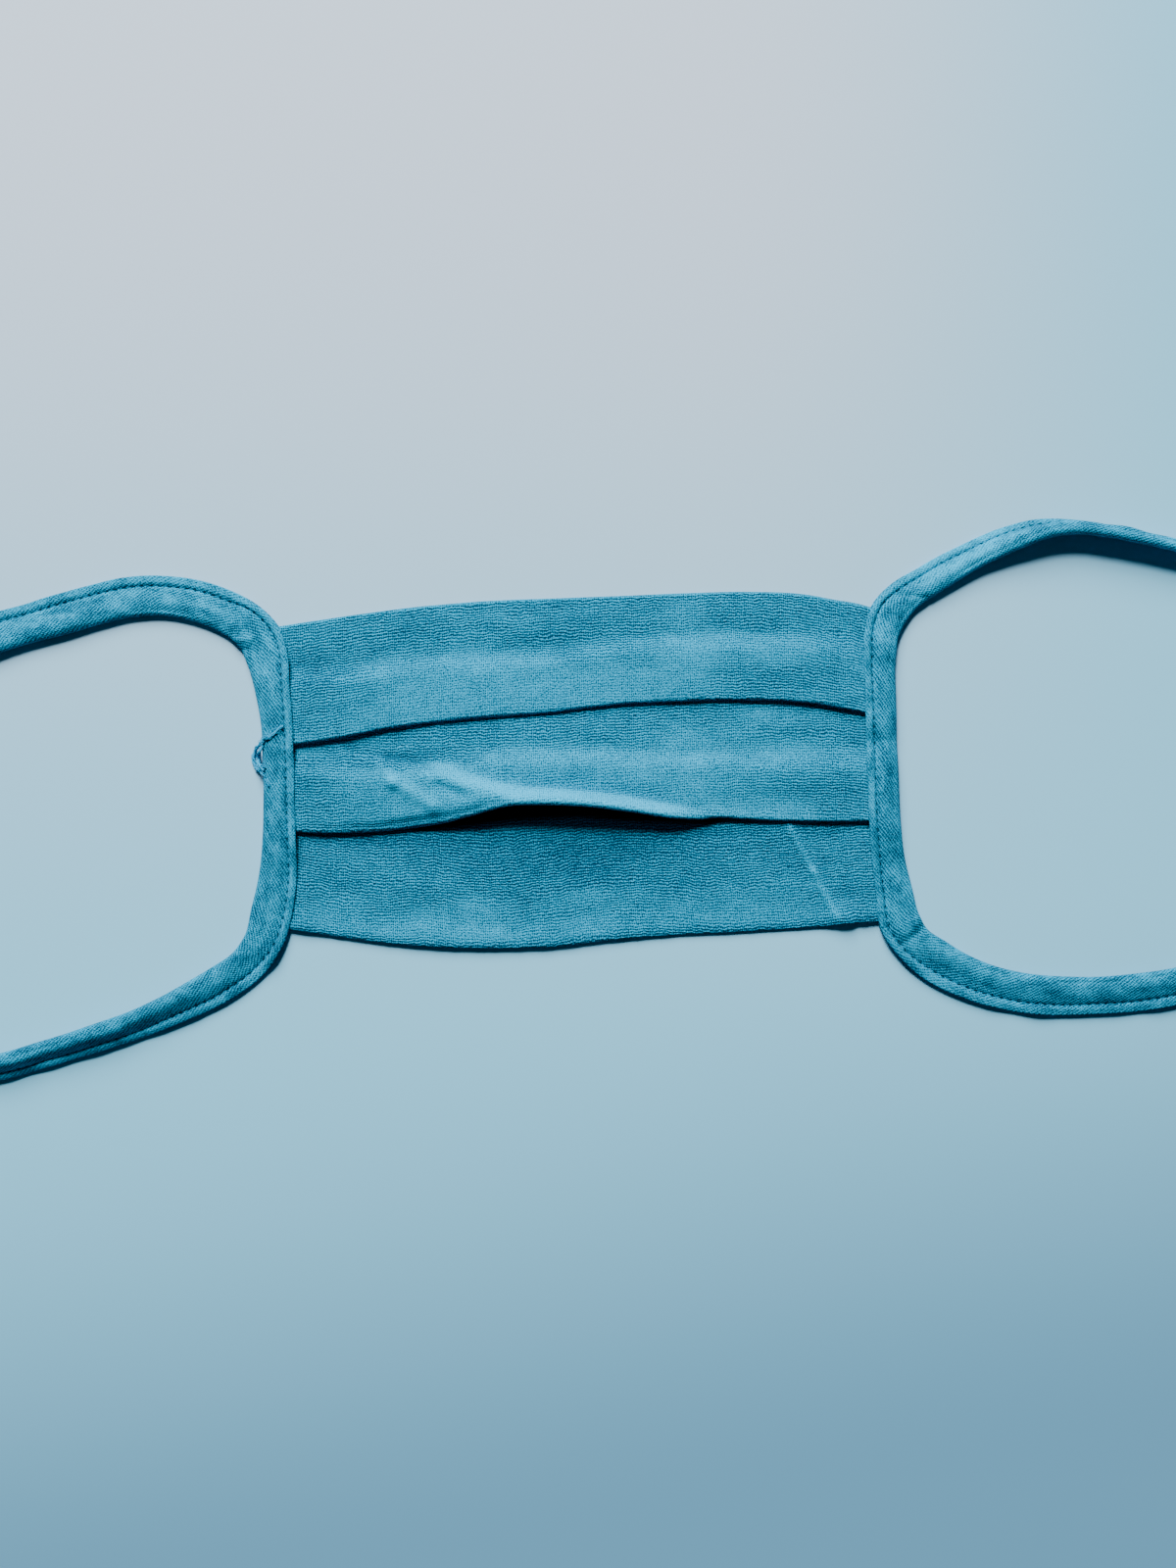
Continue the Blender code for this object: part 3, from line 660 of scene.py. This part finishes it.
class Tape:
    """A folded bias tape: a C-shaped profile of two leaves carried round a closed path."""

    def __init__(self, side, outward, inward):
        self.side = side
        samples, distance = fitted_ring(outward, inward)
        self.along = np.arange(TAPE_SECTIONS) * LOOP_LENGTH / TAPE_SECTIONS
        columns = [np.interp(self.along, distance, column) for column in samples.T]
        self.guide = {name: column[:, None] for name, column in zip(TAPE_TABLE, columns)}
        self.centre = np.column_stack(columns[:2])
        forward = unit(np.roll(self.centre, -1, axis=0) - np.roll(self.centre, 1, axis=0))
        self.to_edge = -side * np.column_stack([forward[:, 1], -forward[:, 0]])
        heading = np.unwrap(np.arctan2(forward[:, 1], forward[:, 0]))
        self.bend = np.abs(np.gradient(heading, self.along))[:, None]
        self.build()

    def build(self):
        """The profile runs from the lower leaf's open edge to the fold and back to the upper edge.

        The lower leaf lies flat, the fold is half a circle, and the upper leaf comes back from it
        with a bulge, a groove at the stitches and a swollen lip.
        """
        guide, s = self.guide, self.along[:, None]
        waver, ripples, shifts = (seed + int(self.side) for seed in TAPE_SEEDS)
        half = TAPE_LEAF / 2.0
        opened = ease(guide["open"])
        held = PANEL_WALL + 2.0 * PLY_STEP * stack_share(self.side, guide["y"]) + HELD_CLEAR
        narrowed = np.clip((12.0 - guide["width"]) / 5.0, 0.0, 1.0) * (1.0 - opened)
        mouth = opened * held + (1.0 - opened) * MOUTH
        free_hollow = FOLD_HOLLOW * (1.0 + NARROW_HOLLOW * narrowed)
        hollow = opened * (held + 0.15) + (1.0 - opened) * free_hollow
        width = guide["width"] + WIDTH_WAVER * unevenness(s, 0.0 * s, 11.0, 1.0, waver)
        radius = (hollow + TAPE_LEAF) / 2.0
        edge = width / 2.0
        bend = -edge + half + radius
        inset = SEAM_INSET[0] + (SEAM_INSET[1] - SEAM_INSET[0]) * opened - NARROW_TURNED * narrowed
        lip_swell = LIP_SWELL[0] + (LIP_SWELL[1] - LIP_SWELL[0]) * opened
        seam = edge - inset
        angle = np.linspace(-0.5, -1.5, BEND_STEPS)[None, 1:-1] * math.pi
        lower = [stretch(edge, seam, LOWER_STEPS[0]), stretch(seam, bend, LOWER_STEPS[1])[:, 1:]]
        upper = [stretch(bend, seam, UPPER_STEPS[0]), stretch(seam, edge, UPPER_STEPS[1])[:, 1:]]
        lower, upper = np.concatenate(lower, axis=1), np.concatenate(upper, axis=1)
        along_body = np.clip((upper - bend) / (seam - bend), 0.0, 1.0)
        from_edge = edge - upper
        top = half + 2.0 * radius
        rise = (half + TAPE_LEAF + mouth) - top
        ripple = unevenness(s, from_edge, 7.0, 5.0, ripples)
        puff = PUFF * (1.0 + 0.5 * narrowed)
        height = top + rise * ease(along_body) + puff * np.sin(math.pi * along_body ** 0.85)
        height = height - SEAM_GROOVE * (1.0 - 0.7 * narrowed) * bell(from_edge - inset, 0.5)
        height = height + lip_swell * bell(from_edge - 0.5 * inset, 0.75) + 0.3 * ripple
        pucker = np.cos(TURN * s / STITCH_PITCH) * bell(from_edge - inset, 1.1)
        shift = 1.6 * unevenness(s, from_edge, 4.0, 5.0, shifts)
        folds = np.sin(TURN * (s + 0.4 * from_edge + shift) / SQUEEZE_PITCH)
        squeeze = ease(self.bend * 12.0 - 0.2) * folds
        height = height + 0.07 * pucker + 0.20 * squeeze * ease((from_edge - 3.0) / 6.0)
        across = np.concatenate([lower, bend + radius * np.cos(angle), upper], axis=1)
        bent = half + radius + radius * np.sin(angle)
        up = np.concatenate([half + 0.0 * lower, bent, height], axis=1)
        self.seam_below = LOWER_STEPS[0] - 1
        self.seam_above = lower.shape[1] + angle.shape[1] + UPPER_STEPS[0] - 1
        line = np.stack([across, up], axis=-1)
        tangent = unit(np.gradient(line, axis=1))
        normal = np.stack([-tangent[..., 1], tangent[..., 0]], axis=-1)
        profile = walled(line, tangent, normal, half)
        roll = np.radians(np.clip(guide["roll"], 0.0, None))
        across = profile[..., 0] * np.cos(roll) + profile[..., 1] * np.sin(roll)
        up = profile[..., 1] * np.cos(roll) - profile[..., 0] * np.sin(roll)
        ends = across.max(axis=1, keepdims=True) + across.min(axis=1, keepdims=True)
        across = across - 0.5 * ends
        up = up - up.min(axis=1, keepdims=True)
        plan = self.centre[:, None] + across[..., None] * self.to_edge[:, None]
        up = up + pressed_creases(plan[..., 0], plan[..., 1], TAPE_CREASES) * ease((up - 0.6) / 1.2)
        self.points = np.concatenate([plan, up[..., None]], axis=-1)
        outer = profile[:, :line.shape[1]]
        girth = np.cumsum(np.linalg.norm(np.diff(outer, axis=1), axis=-1), axis=1)
        girth = np.concatenate([np.zeros((len(girth), 1)), girth], axis=1)
        girth = girth[:, -1:] - girth
        round_end = CAP_STEP * np.arange(1, CAP_POINTS + 1) + 0.0 * s
        around = [girth, -round_end, girth[:, ::-1], girth[:, :1] + round_end]
        around = np.concatenate(around, axis=1)
        laid = (s + CLOTH_CUT) % LOOP_LENGTH
        self.cloth = np.stack([laid + 0.0 * around, self.side * around], axis=-1)
        reach = np.concatenate([edge - lower, 0.0 * angle + 2.0 * edge, from_edge], axis=1)
        seam_gap = np.abs(reach - inset)
        rising, past = (ease((guide["y"] - level) / 8.0) for level in PULLED_LIT_HEIGHTS)
        self.pulled = rising * (1.0 - 1.1 * past) + 0.0 * around
        far = np.full((len(s), CAP_POINTS), SEAM_INSET[0])
        inner = np.full_like(seam_gap, OFF_SEAM)
        self.seam_gap = np.concatenate([seam_gap, far, inner, far], axis=1)


def carried(grid, closed_row):
    """Quads between the rings of a grid, with the last ring joined to the first or not."""
    here, ahead = (grid, np.roll(grid, -1, axis=0)) if closed_row else (grid[:-1], grid[1:])
    quads = [here, ahead, np.roll(ahead, -1, axis=1), np.roll(here, -1, axis=1)]
    return np.stack(quads, axis=-1).reshape(-1, 4)


def end_walls(grid, half):
    """Faces that shut the two ends of a wall with half points on each side.

    At each end a strip of quads joins the sides, and a quad and a triangle fill each round.
    """
    outer = np.arange(half)
    inner = 2 * half + CAP_POINTS - 1 - outer
    strip = np.stack([outer[:-1], outer[1:], inner[1:], inner[:-1]], axis=-1)
    hem, top = half - 1, inner[0]
    rounds = np.array(((hem, hem + 1, hem + 2, hem + 3), (top, top + 1, top + 2, top + 3),
                       (hem, hem + 3, hem + 4, hem + 4), (top, top + 3, 0, 0)))
    return np.concatenate([faces for part in (strip, rounds)
                           for faces in (grid[0][part], grid[-1][part][:, ::-1])])


def add_object(name, data, place=(0.0, 0.0, 0.0)):
    item = bpy.data.objects.new(name, data)
    item.location = place
    bpy.context.scene.collection.objects.link(item)
    return item


def piece_from(name, points, faces, material, cloth=None, seam_length=0.0, **marks):
    """A smooth mesh object in metres at the solids' place, with the cloth's own UV map in metres.

    marks are the values at its points that the finish reads. Where the cloth closes into a ring
    of seam_length, the quads that close it read on past that length and not back to 0.
    """
    points = (points.reshape(-1, 3) + SHIFT) * MM
    mesh = bpy.data.meshes.new(name)
    mesh.from_pydata(points.tolist(), [], faces.tolist())
    corners = np.zeros(len(mesh.loops), dtype=np.int32)
    mesh.loops.foreach_get("vertex_index", corners)
    if cloth is not None:
        laid = cloth.reshape(-1, 2)[corners].reshape(len(faces), 4, 2)
        if seam_length:
            behind = laid[..., 0].max(axis=1, keepdims=True) - laid[..., 0] > seam_length / 2.0
            laid[..., 0] += seam_length * behind
        layer = mesh.uv_layers.new(name="cloth")
        layer.data.foreach_set("uv", (laid * MM).ravel())
    for mark, values in marks.items():
        mesh.attributes.new(mark, "FLOAT", "POINT").data.foreach_set("value", values.ravel())
    if signed_volume(points, faces) < 0.0:
        mesh.flip_normals()
    mesh.shade_smooth()
    mesh.materials.append(material)
    piece = add_object(name, mesh)
    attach(piece, "root")
    return piece


def signed_volume(points, faces):
    """Sum of the tetrahedra from the origin to every face, above zero when faces point outwards."""
    first, second, third, fourth = (points[faces[:, place]] for place in range(4))
    return float(np.sum(np.cross(first, second) * third) + np.sum(np.cross(first, third) * fourth))


def stitch_line(tape, column, outward):
    """Stitches along one column of a tape's surface, each a bead whose ends dip into the cloth.

    A bead is a few rings along the seam. Its radius closes to nothing at both ends, and its
    middle stands up from the cloth by an arch.
    """
    ring = np.concatenate([tape.points, tape.points[:1]])[:, column:column + 2]
    distance = np.concatenate([tape.along, [LOOP_LENGTH]])
    count = int(LOOP_LENGTH / STITCH_PITCH)
    middle = (np.arange(count) * LOOP_LENGTH / count)[:, None]
    share = np.linspace(-1.0, 1.0, STITCH_RINGS)[None, :]
    at = (middle + 0.5 * STITCH_LENGTH * share) % LOOP_LENGTH
    line, beside = (np.stack([np.interp(at, distance, values) for values in points.T], axis=-1)
                    for points in (ring[:, 0], ring[:, 1]))
    tangent = unit(np.gradient(line, axis=1))
    normal = unit(np.cross(tangent, beside - line)) * outward
    across = np.cross(normal, tangent)
    radius = STITCH_RADIUS * (1.0 - share ** 4) ** 0.5 + 0.012
    arch = (STITCH_ARCH - STITCH_DIP * share ** 4) * np.ones_like(at)
    angle = np.arange(TUBE_SIDES) * TURN / TUBE_SIDES
    angle = angle[:, None, None, None]
    ring_way = np.cos(angle) * normal + np.sin(angle) * across
    beads = line + arch[..., None] * normal + radius[..., None] * ring_way
    return np.moveaxis(beads, 0, 2)


def thread_tube(pixels, tape, radius, waver, seed):
    """A thin tube along a smooth curve through the places, on the tape or just over the table.

    Its radius closes to nothing at both ends, and random hills make it waver off its places.
    """
    places = np.array([from_pixel(*pixel) for pixel in pixels])
    surface = tape.points.reshape(-1, 3)
    highest = []
    for place in places:
        near = np.hypot(*(surface[:, :2] - place).T) < THREAD_NEAR
        highest.append(surface[near, 2].max() + OVER_TAPE if near.any() else OVER_TABLE)
    knots = np.linspace(0.0, 1.0, len(places))
    at = np.linspace(0.0, 1.0, THREAD_RINGS)
    columns = (*places.T, np.array(highest))
    line = np.stack([through(at, knots, column) for column in columns], axis=-1)
    for axis in range(3):
        line[:, axis] += waver * unevenness(at * len(places), 0.0 * at, 0.45, 1.0, seed + axis)
    line[:, 2] = np.maximum(line[:, 2], 2.0 * radius)
    tangent = unit(np.gradient(line, axis=0))
    side = unit(np.cross(tangent, (0.0, 0.0, 1.0)))
    up = np.cross(side, tangent)
    thickness = radius * (1.0 - (2.0 * at - 1.0) ** 12) ** 0.5 + 0.01
    angle = np.arange(TUBE_SIDES)[None, :, None] * TURN / TUBE_SIDES
    ring_way = np.cos(angle) * side[:, None] + np.sin(angle) * up[:, None]
    return line[:, None] + thickness[:, None, None] * ring_way


def fray_thread(name, tape, material):
    """The frayed thread: its strands, and finer fibres that waver beside them."""
    tubes = [thread_tube(pixels, tape, share * THREAD_RADIUS, waver, seed)
             for pixels, share, waver, seed in FRAYED_STRANDS]
    beside = (FRAYED_THREAD, FRAYED_TAIL, FRAYED_TUFT, FRAYED_THREAD[2:])
    for number in range(FRAYED_FIBRES):
        pixels, seed = beside[number % len(beside)], FIBRE_SEED + 3 * number
        tubes.append(thread_tube(pixels, tape, FIBRE_RADIUS, FIBRE_WAVER, seed))
    tubes = np.stack(tubes)
    thread = piece_from(name, tubes, bead_faces(*tubes.shape[:3]), material)


def bead_faces(count, rings, sides):
    """Quads of many closed beads that lie one after another, with their two tips folded shut."""
    grid = np.arange(count * rings * sides).reshape(count, rings, sides)
    here, ahead = grid[:, :-1], grid[:, 1:]
    hull = np.stack([here, ahead, np.roll(ahead, -1, axis=2), np.roll(here, -1, axis=2)], axis=-1)
    tips = []
    for end, turned in ((grid[:, 0], False), (grid[:, -1], True)):
        for first in range(0, sides - 2, 2):
            corners = (0, first + 1, first + 2, first + 3)
            quad = np.stack([end[:, corner] for corner in corners], axis=-1)
            tips.append(quad[:, ::-1] if turned else quad)
    return np.concatenate([hull.reshape(-1, 4)] + tips)


class Signal:
    """A shader value that sums can be written with."""

    def __init__(self, finish, socket):
        self.finish = finish
        self.socket = socket

    def combine(self, operation, *values):
        """The operation's result, as a new value."""
        return self.finish.node("ShaderNodeMath", {"operation": operation}, dict(enumerate(values)))

    def __add__(self, other):
        return self.combine("ADD", self, other)

    def __sub__(self, other):
        return self.combine("SUBTRACT", self, other)

    def __rsub__(self, other):
        return self.combine("SUBTRACT", other, self)

    def __mul__(self, other):
        return self.combine("MULTIPLY", self, other)

    def __truediv__(self, other):
        return self.combine("DIVIDE", self, other)

    def __pow__(self, other):
        return self.combine("POWER", self, other)

    def sine(self):
        return self.combine("SINE", self)

    def between(self, low, high):
        """An ease from 0 at low to 1 at high."""
        return self.finish.node("ShaderNodeMapRange", {"interpolation_type": "SMOOTHSTEP"},
                                {"Value": self, "From Min": low, "From Max": high})


class Finish:
    """A material with one Principled shader, and the ways to add nodes to it."""

    def __init__(self, name, roughness, sheen):
        self.material = bpy.data.materials.new(name)
        self.material.use_nodes = True
        self.tree = self.material.node_tree
        self.shader = self.tree.nodes["Principled BSDF"]
        plain = {"Roughness": roughness, "Specular IOR Level": SPECULAR, "Sheen Tint": SHEEN_TINT,
                 "Sheen Weight": sheen, "Sheen Roughness": SHEEN_ROUGHNESS}
        for name, value in plain.items():
            self.shader.inputs[name].default_value = value

    def node(self, kind, settings, inputs, output=0):
        """A new node with these settings and inputs. Gives one of its outputs, by number."""
        made = self.tree.nodes.new(kind)
        for name, value in settings.items():
            setattr(made, name, value)
        for name, value in inputs.items():
            if isinstance(value, Signal):
                self.tree.links.new(value.socket, made.inputs[name])
            else:
                made.inputs[name].default_value = value
        return Signal(self, made.outputs[output])

    def parts(self, vector):
        """The three numbers of a vector."""
        return [self.node("ShaderNodeSeparateXYZ", {}, {0: vector}, axis) for axis in range(3)]

    def place(self):
        """Metres from the shared frame's origin: a piece's own place, as all pieces stand there."""
        return self.parts(self.node("ShaderNodeTexCoord", {}, {}, 3))

    def noise(self, x, y, detail=2.0, z=0.0):
        """Soft random values from about -0.5 to 0.5, one hill for each unit of x and y."""
        place = self.node("ShaderNodeCombineXYZ", {}, {"X": x, "Y": y, "Z": z})
        inputs = {"Vector": place, "Scale": 1.0, "Detail": detail}
        return self.node("ShaderNodeTexNoise", {}, inputs) - 0.5

    def blend(self, amount, first, second):
        """One colour into another. A Mix node's colours are inputs 6 and 7, and its output 2."""
        inputs = {0: amount, 6: first, 7: second}
        return self.node("ShaderNodeMix", {"data_type": "RGBA"}, inputs, 2)

    def laid_cloth(self):
        """Millimetres on the cloth, both ways, from the piece's own UV map."""
        u, v, _ = self.parts(self.node("ShaderNodeUVMap", {"uv_map": "cloth"}, {}))
        return u * 1000.0, v * 1000.0

    def mark(self, name):
        """One of the values kept at the mesh's points."""
        return self.node("ShaderNodeAttribute", {"attribute_name": name}, {}, 2)

    def set(self, name, value):
        self.tree.links.new(value.socket, self.shader.inputs[name])

    def bump(self, height, distance):
        inputs = {"Height": height, "Distance": distance}
        self.set("Normal", self.node("ShaderNodeBump", {}, inputs))

    def dye(self, tone):
        """The linen's colour for a tone."""
        return self.blend(tone.between(*TONE_RANGE), LINEN_DARK, LINEN_LIGHT)


def crinkled_linen():
    """Plain weave whose crosswise threads run in wavy lines, with a finer grid of upright ones."""
    finish = Finish("crinkled linen", 0.9, 0.05)
    u, v = finish.laid_cloth()
    crinkled = finish.mark("crinkled")
    slack = crinkled.between(0.0, 1.0)
    kinks = finish.noise(u / 2.6, v / 7.0, 1.0) * (slack * 0.8 + 0.5)
    sway = kinks + finish.noise(u / 0.9, v / 1.1, 0.0, 7.0) * 0.42
    sway = sway + finish.noise(u / 12.0, v / 7.0, 1.0, 2.0) * 1.8
    drift = finish.noise(u / 5.0, v / 3.0, 1.0, 3.0) * 0.7
    weft = ((v + sway) * (TURN / WEFT_PITCH)).sine()
    warp = ((u + drift) * (TURN / WARP_PITCH)).sine()
    dips = (0.5 - weft * 0.5) ** 2.0 * (0.6 - warp * 0.4)
    strength = finish.noise(u / 1.8, v / 0.9, 2.0, 5.0) * 1.7 + 1.0
    patches = finish.noise(u / 14.0, v / 6.0, 2.0, 9.0)
    grain = finish.noise(u / 0.5, v / 0.33, 1.0, 6.0)
    weave = weft * (slack * 0.15 + 0.05) + warp * (0.14 - slack * 0.03)
    weave = weave - dips * (slack * 0.18 + 0.26)
    mottle = finish.noise(u / 4.0, v / 2.5, 2.0, 8.0)
    # Crinkled cloth is darker in tone; under the folds and at the hem that is partly painted shade,
    # and where the share falls below 0 on the roll and ridges it is painted highlight.
    tone = 0.58 - crinkled * 0.16 + weave * strength + grain * 2.1 + patches * 0.25 + mottle * 0.35
    # Painted shade: where the cloth is tucked into a fold, its colour is blended to near black
    finish.set("Base Color", finish.blend(finish.mark("tucked"), finish.dye(tone), LINEN_PAINTED_SHADE))
    finish.bump(weft * (slack * 0.3 + 0.2) + warp * 0.15 + grain * 1.2, LINEN_BUMP)
    return finish.material


def bias_linen():
    """The same cloth cut on the bias: slanting ribs, with needle holes along the stitches."""
    finish = Finish("bias linen", 0.9, 0.05)
    u, v = finish.laid_cloth()
    sway = finish.noise(u / 3.0, v / 3.0, 1.0) * 0.8
    sway = sway + finish.noise(u / 0.9, v / 0.9, 1.0, 4.0) * 0.25
    rib = ((u * 0.55 + v * 0.83 + sway) * (TURN / RIB_PITCH)).sine()
    cross = ((u * 0.68 - v * 0.73 + sway) * (TURN / CROSS_PITCH)).sine()
    dips = (0.5 - rib * 0.5) ** 2.0 * (0.75 - cross * 0.25)
    strength = finish.noise(u / 1.4, v / 1.4, 2.0, 5.0) * 1.6 + 1.0
    grain = finish.noise(u / 0.42, v / 0.42, 1.0, 6.0)
    patches = finish.noise(u / 8.0, v / 4.0, 2.0, 9.0)
    mottle = finish.noise(u / 2.5, v / 2.0, 2.0, 8.0)
    corded = (v * v).between(4.8, 2.4)
    on_seam = 1.0 - finish.mark("seam_gap").between(0.15, 0.5)
    beside_stitch = 0.5 - ((u - STITCH_PITCH / 4.0) * (TURN / STITCH_PITCH)).sine() * 0.5
    slits = (1.0 - beside_stitch) ** 3.0 * on_seam
    pulled = finish.mark("pulled")
    weave = (rib * 0.13 + cross * 0.10 - dips * 0.22) * (1.0 - corded * 0.4) * (1.0 - pulled * 0.3)
    # A pulled strap's tone is raised, a painted highlight where it turns to face the lamps
    tone = weave * strength + grain * 1.5 + patches * 0.9 + corded * 0.05 + pulled * 0.17
    tone = tone + mottle * 0.5 - slits * (0.8 - pulled * 0.6) + 0.47
    finish.set("Base Color", finish.dye(tone))
    finish.bump(rib * 0.3 + cross * 0.2 + grain * 1.2 - slits * 2.0, LINEN_BUMP)
    return finish.material


def spun_thread(name, lightest):
    """Twisted thread: slanting plies with dark between them, less of it the lower lightest is."""
    finish = Finish(name, 0.7, 0.05)
    x, y, z = finish.place()
    twist = ((x + y * 0.7 + z) * (TURN / THREAD_TWIST)).sine()
    finish.set("Base Color", finish.blend(twist.between(-1.4, lightest), LINEN_DARK, THREAD_LIGHT))
    finish.bump(twist, THREAD_BUMP)
    return finish.material


def pale_table():
    """A plain matt table top: warm grey at the back, paler blue in the middle, deeper in front."""
    finish = Finish("pale table", 0.6, 0.0)
    x, y, _ = finish.place()
    # Painted falloff of the light: darker towards the front
    front = (x * 0.18 - y).between(0.045, 0.215)
    back = finish.blend(x.between(0.03, 0.22), TABLE_BACK, TABLE_CORNER)
    colour = finish.blend(y.between(-0.10, 0.22), TABLE_MIDDLE, back)
    finish.set("Base Color", finish.blend(front, colour, TABLE_FRONT))
    return finish.material


def make_panel():
    """The pleated panel: one closed wall, with its two ends shut."""
    points, cloth, crinkled, tucked = panel_surface()
    grid = numbered(points)
    half = points.shape[1] // 2 - CAP_POINTS
    faces = np.concatenate([carried(grid, False), end_walls(grid, half)])
    panel = piece_from("linen_panel", points, faces, crinkled_linen(), cloth,
                       crinkled=crinkled, tucked=tucked)
    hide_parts("pleated_panel")
    return panel


def make_tape(name, node, side, outward, inward, cloth_finish, thread_finish):
    """One tape with its two lines of stitches. Gives the surface that a thread can lie on."""
    tape = Tape(side, outward, inward)
    strap = piece_from(name, tape.points, carried(numbered(tape.points), True), cloth_finish,
                       tape.cloth, LOOP_LENGTH, seam_gap=tape.seam_gap, pulled=tape.pulled)
    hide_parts(node)
    beads = np.concatenate([stitch_line(tape, column, -side)
                            for column in (tape.seam_above, tape.seam_below)])
    stitches = piece_from(name + "_stitches", beads, bead_faces(*beads.shape[:3]), thread_finish)
    return tape


def lay_table():
    bpy.ops.mesh.primitive_plane_add(size=TABLE_SIZE, location=(0.0, 0.0, -TABLE_DROP))
    top = bpy.context.object
    top.name = "table_top"
    top.data.materials.append(pale_table())


def hang_lights():
    """Two lamps behind the panel's upper edge, in a dim blue room."""
    world = bpy.data.worlds.new("room")
    world.use_nodes = True
    room = world.node_tree.nodes["Background"].inputs
    room["Color"].default_value = ROOM_LIGHT
    room["Strength"].default_value = ROOM_STRENGTH
    bpy.context.scene.world = world
    for name, place, size, power in LAMPS:
        lamp = bpy.data.lights.new(name, "AREA")
        lamp.shape = "DISK"
        lamp.size = size
        lamp.energy = power
        holder = add_object(name, lamp, place)
        holder.rotation_euler = (-Vector(place)).to_track_quat("-Z", "Y").to_euler()


def set_camera():
    """A camera straight above the picture's middle, as high as it takes to see all of it."""
    width, height = PICTURE_SIZE
    middle = np.array(from_pixel(width / 2.0, height / 2.0)) + SHIFT[:2]
    data = bpy.data.cameras.new("overhead")
    data.lens = LENS
    data.sensor_width = SENSOR
    tall = height * MM_PER_PIXEL * MM
    place = (middle[0] * MM, middle[1] * MM, tall * LENS / SENSOR)
    bpy.context.scene.camera = add_object("overhead", data, place)


set_camera()
lay_table()
hang_lights()
panel = make_panel()
finishes = (bias_linen(), spun_thread("sewing thread", 1.2))
left = make_tape("left_tape", "left_ear_loop", -1.0, LEFT_OUTWARD, LEFT_INWARD, *finishes)
make_tape("right_tape", "right_ear_loop", 1.0, RIGHT_OUTWARD, RIGHT_INWARD, *finishes)
fray_thread("frayed_thread", left, spun_thread("frayed thread", -0.4))
